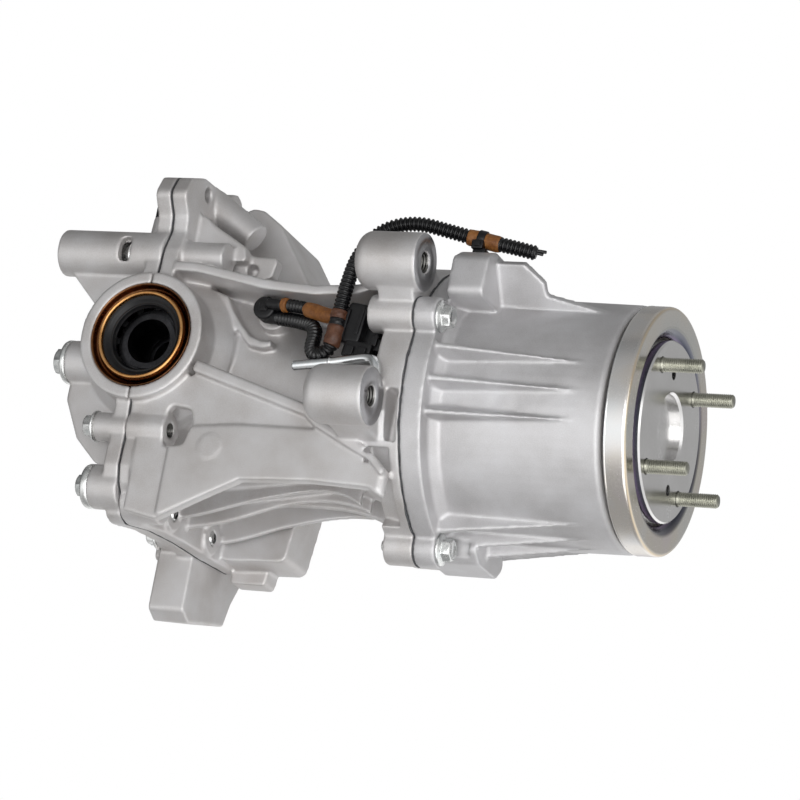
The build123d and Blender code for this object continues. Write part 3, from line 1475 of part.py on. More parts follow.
save(screw((fill_boss_end, *fill_boss), (-1, 0, 0), fill_thread_r - shaft_clearance,
           fill_plug_length, (fill_boss_r, fill_plug_flange_t), *fill_plug_head), "fill_plug")
save(screw((low_boss_end, *low_bolt_place), (-1, 0, 0), long_bolt_r - shaft_clearance,
           seam_rear - low_boss_end + long_bolt_depth - long_bolt_tip_gap,
           (low_boss_r, low_bolt_washer_t), *low_bolt_head), "low_bolt")
save(screw((tube_floor, *long_bolt_place), (-1, 0, 0), long_bolt_r - shaft_clearance,
           seam_rear - tube_floor + long_bolt_depth - long_bolt_tip_gap,
           (tube_bore_r - 1, long_bolt_washer_t), *long_bolt_head), "long_bolt")

# Breather cap on the rear cover and the breather pipe of the front chamber
with BuildPart() as cap:
    with BuildSketch(Plane.XY.offset(breather_top)):
        with Locations(breather_place):
            Circle(breather_cap_r)
    extrude(amount=breather_cap_h)
    fillet(cap.edges().filter_by(GeomType.CIRCLE).sort_by(Axis.Z)[-1], breather_cap_round)
    with BuildSketch(Plane.XY.offset(breather_top)):
        with Locations(breather_place):
            Circle(breather_hole_r - shaft_clearance)
    extrude(amount=-breather_stem)
save(cap.part, "breather_cap")


# Harness: a lead from the round sensor to a junction, and a longer one that loops below it and
# runs up behind the high boss to the clip on the coupling housing
def along(start, end, share):
    return Vector(start) + (Vector(end) - Vector(start)) * share


def sleeve(start, end, share_from, share_to, outer):
    """A wrap round a straight run of the harness, between two shares of the run's length."""
    low, high = along(start, end, share_from), along(start, end, share_to)
    with BuildPart() as wrap:
        with BuildSketch(Plane(origin=low, z_dir=high - low)):
            Circle(outer)
            Circle(conduit_r + wrap_clearance, mode=Mode.SUBTRACT)
        extrude(amount=(high - low).length)
    return wrap.part


conduit_route = [
    (-267, -70, 44), (-249, -75, 41), (-231.5, -83, 34), (-230, -91, 14.5), (-220.5, -96, 9),
    (-211.5, -98, 15), (-210.5, -98, 36), (-209.5, -96.5, 60), (-208, -91, 85),
    (-196, -86, 105.5), (-174, -82, 113), (-150, -75, 109.5), (-126, -70, 105.2),
    (-104, -69, 101.8), (-90, -66, 99.5),
]
tape_places = [(5, 0.3, 0.72), (6, 0.05, 0.4), (11, 0.56, 0.9), (12, 0.32, 0.62)]
lead_route = [
    (-263, -76.8, 51.5), (-249, -79.8, 50), (-235, -84, 45), (-222, -86.5, 41), (-211, -86.5, 41),
]
conduit, conduit_line = route_tube(conduit_route, conduit_r)
print("conduit radii", [round(radius, 1) for radius in route_radii(conduit_route)],
      "volume over section times length",
      round(conduit.volume / (math.pi * conduit_r ** 2 * conduit_line.length), 4))
save(conduit, "harness_conduit")
lead, lead_line = route_tube(lead_route, lead_r)
print("lead radii", [round(radius, 1) for radius in route_radii(lead_route)],
      "volume over section times length",
      round(lead.volume / (math.pi * lead_r ** 2 * lead_line.length), 4))
save(lead, "sensor_lead")

# Round sensor on its boss, with an outlet for the lead
sensor_x, sensor_z = sensor_place
sensor_plane = Plane(origin=(sensor_x, sensor_seat_y, sensor_z), x_dir=(1, 0, 0), z_dir=(0, -1, 0))
with BuildPart() as sensor:
    with BuildSketch(sensor_plane):
        Circle(sensor_r - sensor_neck_step)
    extrude(amount=sensor_neck)
    with BuildSketch(sensor_plane.offset(sensor_neck)):
        Circle(sensor_r)
    extrude(amount=sensor_head)
    fillet(sensor.edges().filter_by(GeomType.CIRCLE).group_by(Axis.Y)[0], sensor_neck_step)
    with BuildSketch(sensor_plane.offset(sensor_neck + sensor_head)):
        RectangleRounded(sensor_key, sensor_key, 1)
    extrude(amount=sensor_key_t)
    for route, line, radius in ((lead_route, lead_line, lead_r), (conduit_route, conduit_line,
                                                                 conduit_r)):
        add(rod(route[0], -(line % 0), sensor_outlet, radius))
save(sensor.part, "round_sensor")

# Connector with its latches, clipped above the web of the low boss
with BuildPart() as plug:
    add(plate_y(connector_y, connector_t, connector_outline, 2))
    add(rod(lead_collar, (-1, 0, 0), lead_collar_length, lead_r + 1))
    wide, tall, out = connector_latch
    for x in (connector_latch_x, connector_latch_x + wide + connector_latch_gap):
        low, high = connector_latch_z, connector_latch_z + tall
        add(plate_y(connector_y - out, out + 1, [(x, low), (x + wide, low), (x + wide, high),
                                                 (x, high)], 1))
save(plug.part, "harness_connector")

# Cloth tape wraps, and the clip that stands on the coupling housing
ties = [
    sleeve(conduit_route[run], conduit_route[run + 1], share_from, share_to, conduit_r + wrap_t)
    for run, share_from, share_to in tape_places
]
clip_middle = conduit_line @ clip_share
with BuildPart() as clip:
    with BuildSketch(Plane(origin=clip_middle, z_dir=conduit_line % clip_share)):
        Circle(conduit_r + clip_wall)
        Circle(conduit_r + wrap_clearance, mode=Mode.SUBTRACT)
    extrude(amount=clip_w / 2, both=True)
    foot_top = clip_middle.Z - conduit_r - clip_foot_gap
    with BuildSketch(Plane.XY.offset(block_top)):
        with Locations((clip_middle.X, clip_middle.Y)):
            Rectangle(clip_foot_w, clip_foot_w)
    extrude(amount=foot_top - block_top)
ties.append(clip.part)
save(Compound(children=ties), "harness_ties")

# Breather pipe of the front chamber, with its collar, down into the web of the low boss
with BuildPart() as pipe:
    add(route_tube(pipe_route, pipe_r, pipe_r - pipe_wall)[0])
    add(rod(pipe_route[1], Vector(pipe_route[1]) - Vector(pipe_route[0]), pipe_collar_w,
            pipe_r + pipe_collar_h))
save(pipe.part, "breather_pipe")
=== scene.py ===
import bpy, bmesh, json, math
import numpy as np
from mathutils import Matrix, Vector


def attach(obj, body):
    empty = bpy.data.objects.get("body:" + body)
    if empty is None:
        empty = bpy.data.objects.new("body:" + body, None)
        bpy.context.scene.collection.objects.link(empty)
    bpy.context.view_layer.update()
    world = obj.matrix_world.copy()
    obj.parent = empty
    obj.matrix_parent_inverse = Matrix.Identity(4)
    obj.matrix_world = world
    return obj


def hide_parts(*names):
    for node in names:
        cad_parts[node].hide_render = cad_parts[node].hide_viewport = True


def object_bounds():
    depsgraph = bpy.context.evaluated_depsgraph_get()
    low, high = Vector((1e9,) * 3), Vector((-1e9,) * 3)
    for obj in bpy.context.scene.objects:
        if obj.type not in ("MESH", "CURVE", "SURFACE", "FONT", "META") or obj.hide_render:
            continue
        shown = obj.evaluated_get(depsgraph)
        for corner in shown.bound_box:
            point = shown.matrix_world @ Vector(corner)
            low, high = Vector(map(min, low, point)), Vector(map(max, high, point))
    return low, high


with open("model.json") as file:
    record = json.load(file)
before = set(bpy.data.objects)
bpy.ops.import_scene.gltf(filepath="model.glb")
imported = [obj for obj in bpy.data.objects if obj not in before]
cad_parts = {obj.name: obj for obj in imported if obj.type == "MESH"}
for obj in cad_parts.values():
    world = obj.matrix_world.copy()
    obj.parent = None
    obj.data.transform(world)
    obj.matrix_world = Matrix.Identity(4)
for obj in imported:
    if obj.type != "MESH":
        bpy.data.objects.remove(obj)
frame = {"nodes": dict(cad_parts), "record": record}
cadBox = [list(corner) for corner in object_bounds()]
nodes = frame["nodes"]
slotOf = {part["node"]: part["material_slot"] for part in frame["record"]["subparts"]}
bodyOf = {node: body for body, members in frame["record"]["behaviour"]["bodies"].items() for node in members}
print("frame loaded:", len(nodes), "nodes")

# stage: camera, backdrop, floor and lamps; the camera's turn has right, up and back as its columns
shot = dict(place=(0.78972, -2.18526, -0.69183), lens=162.82, filmWidth=36, near=0.05, far=30,
            right=(0.9171, 0.3596, 0.1718), up=(-0.0488, -0.3264, 0.944), back=(0.3956, -0.8741, -0.2818))


def addCamera(shot):
    data = bpy.data.cameras.new("photoCamera")
    data.lens, data.sensor_width, data.sensor_fit = shot["lens"], shot["filmWidth"], "HORIZONTAL"
    data.clip_start, data.clip_end = shot["near"], shot["far"]
    camera = bpy.data.objects.new("photoCamera", data)
    bpy.context.scene.collection.objects.link(camera)
    turn = Matrix((shot["right"], shot["up"], shot["back"])).transposed().to_quaternion().to_matrix()
    camera.matrix_world = Matrix.Translation(shot["place"]) @ turn.to_4x4()
    bpy.context.scene.camera = camera


addCamera(shot)
bpy.context.scene.view_settings.view_transform = "Standard"


def nodeTools(tree):
    # make adds a node with its settings and socket values, join links two sockets, and calc makes a Math node
    # of sockets and numbers and gives its output
    tree.nodes.clear()

    def make(kind, **values):
        node = tree.nodes.new(kind)
        for name, value in values.items():
            if hasattr(node, name):
                setattr(node, name, value)
            else:
                node.inputs[name.replace("_", " ")].default_value = value
        return node

    def calc(operation, *terms):
        node = make("ShaderNodeMath", operation=operation)
        for socket, term in zip(node.inputs, terms):
            if isinstance(term, (int, float)):
                socket.default_value = term
            else:
                tree.links.new(term, socket)
        return node.outputs[0]

    return make, tree.links.new, calc


def ramp(make, stops):
    node = make("ShaderNodeValToRGB")
    band = node.color_ramp
    while len(band.elements) < len(stops):
        band.elements.new(0.5)
    for element, (place, colour) in zip(band.elements, stops):
        element.position, element.color = place, (*colour, 1)
    return node


# bands (for metal) and soft (for the rest): (share of the height from straight down to straight up, light);
# walls: (towards, cosine at the edge, cosine where it is full, light left)
room = dict(air=0.15, gain=1.32,
            walls=[((0.52, 0.80, 0.30), 0.80, 0.97, 0.78), ((-0.93, 0.22, 0.25), 0.30, 0.90, 0.30)],
            bands=[(0.0, 0.30), (0.10, 0.34), (0.17, 0.60), (0.26, 0.94), (0.40, 1.0), (0.50, 0.78),
                   (0.62, 0.44), (0.86, 0.37), (0.93, 0.26), (1.0, 0.21)],
            soft=[(0.0, 1.0), (0.57, 1.0), (0.95, 0.30), (1.0, 0.28)])


def addRoom(room):
    # the camera sees white; metal mirrors a bright band at about eye height, darker above and below, and
    # greyer walls; everything else gets a little even light
    world = bpy.data.worlds.new("studio")
    bpy.context.scene.world = world
    world.use_nodes = True
    make, join, calc = nodeTools(world.node_tree)
    spot = make("ShaderNodeTexCoord").outputs["Generated"]
    parts = make("ShaderNodeSeparateXYZ")
    join(spot, parts.inputs[0])
    height = make("ShaderNodeMapRange", From_Min=-1.0, From_Max=1.0, To_Min=0.0, To_Max=1.0)
    join(parts.outputs["Z"], height.inputs["Value"])
    high = ramp(make, [(share, (light,) * 3) for share, light in room["bands"]])
    even = ramp(make, [(share, (light,) * 3) for share, light in room["soft"]])
    join(height.outputs[0], high.inputs[0])
    join(height.outputs[0], even.inputs[0])
    mirror = high.outputs[0]
    for towards, edge, middle, share in room["walls"]:
        aim = make("ShaderNodeVectorMath", operation="DOT_PRODUCT")
        aim.inputs[1].default_value = Vector(towards).normalized()
        join(spot, aim.inputs[0])
        wall = make("ShaderNodeMapRange", From_Min=edge, From_Max=middle, To_Min=1.0, To_Max=share)
        join(aim.outputs["Value"], wall.inputs["Value"])
        mirror = calc("MULTIPLY", mirror, wall.outputs[0])
    path = make("ShaderNodeLightPath")
    lit = make("ShaderNodeMix")
    join(calc("MAXIMUM", path.outputs["Is Glossy Ray"], path.outputs["Is Transmission Ray"]), lit.inputs[0])
    join(calc("MULTIPLY", even.outputs[0], room["air"]), lit.inputs[2])
    join(calc("MULTIPLY", mirror, room["gain"]), lit.inputs[3])
    seen = make("ShaderNodeMix")
    join(path.outputs["Is Camera Ray"], seen.inputs[0])
    join(lit.outputs[0], seen.inputs[2])
    seen.inputs[3].default_value = 1.0
    light = make("ShaderNodeBackground", Color=(1, 1, 1, 1))
    join(seen.outputs[0], light.inputs["Strength"])
    out = make("ShaderNodeOutputWorld")
    join(light.outputs[0], out.inputs["Surface"])


addRoom(room)

floorLook = dict(colour=(0.93, 0.93, 0.93, 1), roughness=0.9, reach=6.0, glow=0.72, below=0.0005)


def addFloor(look, height):
    # a pale floor that glows a little for the camera alone; from below, for the light and in mirrored views
    # it isn't there
    mesh = bpy.data.meshes.new("studioFloor")
    r = look["reach"]
    mesh.from_pydata([(-r, -r, height), (r, -r, height), (r, r, height), (-r, r, height)], [], [(0, 1, 2, 3)])
    floor = bpy.data.objects.new("studioFloor", mesh)
    bpy.context.scene.collection.objects.link(floor)
    material = bpy.data.materials.new("paleFloor")
    material.use_nodes = True
    make, join, calc = nodeTools(material.node_tree)
    paint = make("ShaderNodeBsdfDiffuse", Color=look["colour"], Roughness=look["roughness"])
    glow = make("ShaderNodeEmission", Color=look["colour"])
    clear = make("ShaderNodeBsdfTransparent")
    side = make("ShaderNodeNewGeometry")
    path = make("ShaderNodeLightPath")
    join(calc("MULTIPLY", path.outputs["Is Camera Ray"], look["glow"]), glow.inputs["Strength"])
    pale = make("ShaderNodeAddShader")
    join(paint.outputs[0], pale.inputs[0])
    join(glow.outputs[0], pale.inputs[1])
    unseen = calc("MAXIMUM", path.outputs["Is Shadow Ray"], path.outputs["Is Glossy Ray"])
    mix = make("ShaderNodeMixShader")
    join(calc("MAXIMUM", side.outputs["Backfacing"], unseen), mix.inputs[0])
    join(pale.outputs[0], mix.inputs[1])
    join(clear.outputs[0], mix.inputs[2])
    out = make("ShaderNodeOutputMaterial")
    join(mix.outputs[0], out.inputs["Surface"])
    mesh.materials.append(material)


addFloor(floorLook, cadBox[0][2] - floorLook["below"])

lamps = [
    dict(name="keyPanel", place=(0.5, -1.95, -0.5), aim=(-0.22, 0, 0.0), size=1.3, power=15),
    dict(name="leftPanel", place=(-1.9, -0.9, 0.1), aim=(-0.25, 0, 0.0), size=1.1, power=0.2),
    dict(name="rightPanel", place=(1.6, -1.0, 0.2), aim=(-0.1, 0, 0.0), size=0.9, power=3),
    dict(name="ceilingPanel", place=(-0.2, 0.2, 2.0), aim=(-0.2, 0, 0), size=1.6, power=1.0),
    dict(name="lowPanel", place=(0.6, -1.05, -1.55), aim=(-0.2, 0, 0), size=1.6, power=13),
]


def addLamp(lamp):
    data = bpy.data.lights.new(lamp["name"], "AREA")
    data.shape, data.size, data.energy = "SQUARE", lamp["size"], lamp["power"]
    panel = bpy.data.objects.new(lamp["name"], data)
    bpy.context.scene.collection.objects.link(panel)
    towards = Vector(lamp["aim"]) - Vector(lamp["place"])
    panel.rotation_euler = towards.to_track_quat("-Z", "Y").to_euler()
    panel.location = lamp["place"]


for lamp in lamps:
    addLamp(lamp)
print("stage set")

# finishes: tones from dark to light, roughness from its least to its most, grain (fine speckle) and patch
# (slow change of tone) per metre, bump (strength, depth)
looks = {
    "cast_aluminium": dict(
        name="castAluminium", metallic=0.72, rough=(0.46, 0.62), grain=1500, patch=28, bump=(0.35, 0.0004),
        tones=[(0.53, 0.505, 0.49), (0.63, 0.615, 0.61), (0.71, 0.705, 0.71)]),
    "cast_front": dict(
        name="castFront", metallic=0.72, rough=(0.46, 0.62), grain=1500, patch=28, bump=(0.35, 0.0004),
        tones=[(0.52, 0.512, 0.515), (0.62, 0.613, 0.62), (0.70, 0.698, 0.71)]),
    "sealant": dict(
        name="sealingBead", metallic=0.0, rough=(0.35, 0.6), grain=500, patch=90, bump=(0.4, 0.0005),
        tones=[(0.05, 0.052, 0.058), (0.10, 0.103, 0.11), (0.17, 0.175, 0.18)]),
    "zinc": dict(
        name="zincPlate", metallic=1.0, rough=(0.16, 0.36), grain=700, patch=60, bump=(0.12, 0.0002),
        tones=[(0.58, 0.61, 0.61), (0.71, 0.72, 0.71), (0.81, 0.81, 0.80)]),
    "bronze_case": dict(
        name="bronzeCase", metallic=1.0, rough=(0.22, 0.34), grain=500, patch=45, bump=(0.05, 0.0002),
        tones=[(0.40, 0.19, 0.065), (0.52, 0.27, 0.10), (0.62, 0.35, 0.14)]),
    "stud_zinc": dict(
        name="studZinc", metallic=1.0, rough=(0.28, 0.40), grain=700, patch=90, bump=(0.04, 0.0001),
        tones=[(0.25, 0.25, 0.21), (0.34, 0.34, 0.285), (0.43, 0.425, 0.36)]),
    "brown_coat": dict(
        name="brownCoat", metallic=1.0, rough=(0.22, 0.36), grain=600, patch=40, bump=(0.10, 0.0002),
        tones=[(0.09, 0.042, 0.02), (0.15, 0.07, 0.033), (0.24, 0.12, 0.055)]),
    "bright_zinc": dict(
        name="brightZinc", metallic=1.0, rough=(0.10, 0.2), grain=500, patch=70, bump=(0.03, 0.0001),
        tones=[(0.74, 0.78, 0.80), (0.82, 0.84, 0.85), (0.88, 0.88, 0.87)]),
    "machined_aluminium": dict(
        name="machinedAluminium", metallic=1.0, rough=(0.26, 0.36), grain=900, patch=70, bump=(0.04, 0.0001),
        tones=[(0.36, 0.36, 0.37), (0.43, 0.43, 0.44), (0.50, 0.50, 0.51)]),
    # dark metal for the walls of tapped holes: painted shade inside the holes
    "dark_bore": dict(
        name="darkBore", metallic=1.0, rough=(0.25, 0.38), grain=900, patch=70, bump=(0.08, 0.0002),
        tones=[(0.09, 0.088, 0.085), (0.15, 0.147, 0.14), (0.22, 0.215, 0.20)]),
    # near-black steel for what shows inside the output bores: painted shade
    "bore_shade_steel": dict(
        name="boreShadeSteel", metallic=1.0, rough=(0.28, 0.42), grain=800, patch=60, bump=(0.1, 0.0002),
        tones=[(0.02, 0.02, 0.022), (0.04, 0.04, 0.043), (0.07, 0.07, 0.075)]),
    "seal_rubber": dict(
        name="sealRubber", metallic=0.0, rough=(0.3, 0.5), grain=900, patch=70, bump=(0.2, 0.0003),
        specular=0.3, tones=[(0.003, 0.003, 0.004), (0.006, 0.006, 0.007), (0.014, 0.014, 0.014)]),
    "black_plastic": dict(
        name="blackPlastic", metallic=0.0, rough=(0.28, 0.42), grain=1300, patch=60, bump=(0.15, 0.0003),
        specular=0.35, tones=[(0.003, 0.003, 0.004), (0.005, 0.005, 0.006), (0.010, 0.010, 0.011)]),
    "conduit": dict(
        name="blackConduit", metallic=0.0, rough=(0.2, 0.34), grain=900, patch=80, bump=(0.1, 0.0002),
        specular=0.4, tones=[(0.003, 0.003, 0.004), (0.005, 0.005, 0.006), (0.011, 0.011, 0.012)]),
    "tape": dict(
        name="amberTape", metallic=0.0, rough=(0.35, 0.6), grain=900, patch=110, bump=(0.35, 0.0004),
        tones=[(0.20, 0.068, 0.016), (0.38, 0.145, 0.036), (0.54, 0.24, 0.07)]),
    "brown_tape": dict(
        name="brownTape", metallic=0.0, rough=(0.35, 0.6), grain=900, patch=110, bump=(0.35, 0.0004),
        tones=[(0.07, 0.026, 0.013), (0.13, 0.05, 0.025), (0.21, 0.09, 0.045)]),
    "plated_sheet": dict(
        name="platedSheet", metallic=1.0, rough=(0.14, 0.30), grain=500, patch=26, bump=(0.05, 0.0002),
        tones=[(0.60, 0.63, 0.58), (0.72, 0.72, 0.66), (0.80, 0.78, 0.72)]),
    "copper_coil": dict(
        name="copperWinding", metallic=1.0, rough=(0.3, 0.5), grain=900, patch=90, bump=(0.4, 0.0004),
        tones=[(0.42, 0.16, 0.07), (0.62, 0.27, 0.13), (0.75, 0.38, 0.2)]),
    "bronze": dict(
        name="bronzeWasher", metallic=1.0, rough=(0.3, 0.5), grain=700, patch=80, bump=(0.1, 0.0002),
        tones=[(0.38, 0.24, 0.10), (0.52, 0.35, 0.16), (0.62, 0.44, 0.22)]),
    "machined_steel": dict(
        name="machinedSteel", metallic=1.0, rough=(0.18, 0.28), grain=600, patch=30, bump=(0.015, 0.0001),
        tones=[(0.66, 0.652, 0.645), (0.70, 0.693, 0.688), (0.74, 0.736, 0.732)]),
    "bearing_steel": dict(
        name="bearingSteel", metallic=1.0, rough=(0.1, 0.2), grain=500, patch=50, bump=(0.03, 0.0001),
        tones=[(0.5, 0.5, 0.51), (0.62, 0.62, 0.63), (0.72, 0.72, 0.73)]),
    "clutch_steel": dict(
        name="clutchSteel", metallic=1.0, rough=(0.3, 0.5), grain=900, patch=70, bump=(0.15, 0.0002),
        tones=[(0.3, 0.29, 0.28), (0.42, 0.41, 0.4), (0.52, 0.51, 0.5)]),
    "cast_iron": dict(
        name="castIron", metallic=0.85, rough=(0.45, 0.65), grain=900, patch=50, bump=(0.4, 0.0005),
        tones=[(0.12, 0.118, 0.115), (0.18, 0.177, 0.172), (0.26, 0.255, 0.25)]),
}
speckle = dict(slow=dict(Detail=3.0, Roughness=0.55), fine=dict(Detail=4.0, Roughness=0.62), fineShare=0.42,
               toneStops=(0.34, 0.50, 0.66), roughSpan=(0.32, 0.68))


def basicMaterial(name, metallic):
    material = bpy.data.materials.new(name)
    material.use_nodes = True
    make, join, _ = nodeTools(material.node_tree)
    shader = make("ShaderNodeBsdfPrincipled", Metallic=metallic)
    out = make("ShaderNodeOutputMaterial")
    join(shader.outputs[0], out.inputs["Surface"])
    return material, make, join, shader, make("ShaderNodeTexCoord").outputs["Object"]


def grainMaterial(name, tones, metallic, rough, grain, patch, bump, specular=0.5):
    # tone and roughness follow a mix of slow and fine noise, and the bump follows the fine noise
    material, make, join, shader, place = basicMaterial(name, metallic)
    shader.inputs["Specular IOR Level"].default_value = specular
    slow = make("ShaderNodeTexNoise", Scale=patch, **speckle["slow"])
    fine = make("ShaderNodeTexNoise", Scale=grain, **speckle["fine"])
    join(place, slow.inputs["Vector"])
    join(place, fine.inputs["Vector"])
    both = make("ShaderNodeMix", Factor=speckle["fineShare"])
    join(slow.outputs["Fac"], both.inputs[2])
    join(fine.outputs["Fac"], both.inputs[3])
    colour = ramp(make, list(zip(speckle["toneStops"], tones)))
    join(both.outputs[0], colour.inputs[0])
    join(colour.outputs[0], shader.inputs["Base Color"])
    low, high = speckle["roughSpan"]
    shine = make("ShaderNodeMapRange", From_Min=low, From_Max=high, To_Min=rough[0], To_Max=rough[1])
    join(both.outputs[0], shine.inputs["Value"])
    join(shine.outputs[0], shader.inputs["Roughness"])
    relief = make("ShaderNodeBump", Strength=bump[0], Distance=bump[1])
    join(fine.outputs["Fac"], relief.inputs["Height"])
    join(relief.outputs[0], shader.inputs["Normal"])
    return material


finishes = {slot: grainMaterial(**look) for slot, look in looks.items()}

# what shows in the output bores is near-black steel: painted shade for the dark inside of the bores, with a
# little real darkening by oil
shadedInBores = ("side_gear_left", "side_gear_right", "spider_pin", "spider_gear_upper", "spider_gear_lower",
         "diff_case", "thrust_washers", "lock_pin", "ring_gear", "ring_bolts", "side_bearing_cups",
         "side_bearing_cones", "side_bearing_rollers")
for name, piece in nodes.items():
    piece.data.materials.clear()
    piece.data.materials.append(finishes["bore_shade_steel" if name in shadedInBores else slotOf[name]])

# tones: (share of the way from the near to the far radius, tone); film: (slow noise, tint)
coverLook = dict(
    near=0.060, far=0.086, patch=22.0, grain=700.0, detail=3.0, noiseSpan=(0.3, 0.7), rough=(0.18, 0.28),
    # the first tones darken the turned-in lip: painted shade in the gap to the flange, with the plating's
    # violet tint
    tones=[(0.00, (0.10, 0.09, 0.15)), (0.16, (0.17, 0.13, 0.21)), (0.24, (0.06, 0.065, 0.09)),
           (0.33, (0.15, 0.15, 0.17)), (0.385, (0.48, 0.47, 0.44)), (0.43, (0.66, 0.64, 0.60)),
           (0.82, (0.68, 0.66, 0.62)), (0.88, (0.62, 0.53, 0.40)), (0.915, (0.70, 0.68, 0.66)),
           (0.94, (0.71, 0.72, 0.73)), (1.0, (0.70, 0.71, 0.72))],
    film=[(0.30, (0.93, 0.97, 1.0)), (0.45, (1.0, 1.0, 1.0)), (0.56, (1.0, 0.97, 0.92)),
          (0.70, (1.0, 0.94, 0.97))])


def coverMaterial(look):
    # zinc sheet: its tone goes by the distance from the X axis, dark on the turned-in lip as painted shade in
    # the gap to the flange, with the plating's violet tint, times a slow film of colour
    material, make, join, shader, place = basicMaterial("coverZinc", 1.0)
    flat = make("ShaderNodeVectorMath", operation="MULTIPLY")
    flat.inputs[1].default_value = (0, 1, 1)
    join(place, flat.inputs[0])
    reach = make("ShaderNodeVectorMath", operation="LENGTH")
    join(flat.outputs[0], reach.inputs[0])
    share = make("ShaderNodeMapRange", From_Min=look["near"], From_Max=look["far"])
    join(reach.outputs["Value"], share.inputs["Value"])
    tone = ramp(make, look["tones"])
    join(share.outputs[0], tone.inputs[0])
    slow = make("ShaderNodeTexNoise", Scale=look["patch"], Detail=look["detail"])
    fine = make("ShaderNodeTexNoise", Scale=look["grain"], Detail=look["detail"])
    join(place, slow.inputs["Vector"])
    join(place, fine.inputs["Vector"])
    film = ramp(make, look["film"])
    join(slow.outputs["Fac"], film.inputs[0])
    tinted = make("ShaderNodeMix", data_type="RGBA", blend_type="MULTIPLY")
    tinted.inputs[0].default_value = 1.0
    join(tone.outputs[0], tinted.inputs[6])
    join(film.outputs[0], tinted.inputs[7])
    join(tinted.outputs[2], shader.inputs["Base Color"])
    (low, high), (least, most) = look["noiseSpan"], look["rough"]
    shine = make("ShaderNodeMapRange", From_Min=low, From_Max=high, To_Min=least, To_Max=most)
    join(fine.outputs["Fac"], shine.inputs["Value"])
    join(shine.outputs[0], shader.inputs["Roughness"])
    return material


finishes["cover_zinc"] = coverMaterial(coverLook)
print("finishes made:", len(finishes))

# meshes: a shape is points in metres and blocks of faces, each block an array with a face in each row;
# points nearer than weld are merged
weld = 0.0000005


def gridFaces(rows, sides):
    # faces of a grid that closes round its second direction
    i, j = np.meshgrid(np.arange(rows - 1), np.arange(sides), indexing="ij")
    k = (j + 1) % sides
    here, ahead = i * sides, (i + 1) * sides
    return np.stack([here + j, here + k, ahead + k, ahead + j], -1).reshape(-1, 4)


def faceList(blocks):
    return [face for block in blocks for face in block.tolist()]


def joined(parts):
    # shapes one after another as a single one, each shape's face numbers moved on by the points before it
    points, blocks, start = [], [], 0
    for partPoints, partBlocks in parts:
        points.append(partPoints)
        blocks += [block + start for block in partBlocks]
        start += len(partPoints)
    return np.concatenate(points), blocks


def meshPiece(name, points, blocks, finish, slotName, replaced=(), body="housing"):
    # the shape as a smooth mesh, its doubled points welded and its faces turned outwards
    mesh = bpy.data.meshes.new(name)
    mesh.from_pydata(points, [], faceList(blocks))
    mesh.update()
    skin = bmesh.new()
    skin.from_mesh(mesh)
    bmesh.ops.remove_doubles(skin, verts=skin.verts, dist=weld)
    bmesh.ops.recalc_face_normals(skin, faces=skin.faces)
    skin.to_mesh(mesh)
    skin.free()
    mesh.shade_smooth()
    piece = bpy.data.objects.new(name, mesh)
    bpy.context.scene.collection.objects.link(piece)
    mesh.materials.append(finishes[finish])
    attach(piece, body)
    if replaced:
        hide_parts(*replaced)


# cast housings: voxel and weld are in metres, and keep is the most triangles
casting = dict(voxel=0.00115, pull=0.5, rounds=4, keep=190000, weld=0.00001, finish="cast_aluminium")
# side wall of the dome over the ring gear, which the CAD solid lacks; profile is (along the axle, radius)
domeWall = dict(axle=(-357.6, 19.5), angles=(90.5, 269.5), steps=120,
                profile=[(0.0, 54.0), (3.0, 57.8), (12.6, 85.8), (18.5, 85.8), (18.5, 80.3), (13.6, 80.3),
                         (13.6, 54.0)])


def turnedWall(settings):
    # point (p, a) = axle + R(p) (cos a, 0, sin a) + along(p) (0, 1, 0); both ends are capped
    along, radius = np.array(settings["profile"]).T
    turn = np.radians(np.linspace(*settings["angles"], settings["steps"]))[:, None]
    x = settings["axle"][0] + radius * np.cos(turn)
    z = settings["axle"][1] + radius * np.sin(turn)
    points = np.stack([x, np.broadcast_to(along, x.shape), z], -1).reshape(-1, 3) / 1000
    corners = np.arange(len(along))
    caps = np.stack([corners[::-1], corners + len(points) - len(along)])
    return points, [gridFaces(settings["steps"], len(along)), caps]


def applyAll(piece):
    # the shown result takes the place of the mesh
    bpy.context.view_layer.update()
    graph = bpy.context.evaluated_depsgraph_get()
    made = bpy.data.meshes.new_from_object(piece.evaluated_get(graph), depsgraph=graph)
    old = piece.data
    piece.modifiers.clear()
    piece.data = made
    made.name = piece.name
    bpy.data.meshes.remove(old)


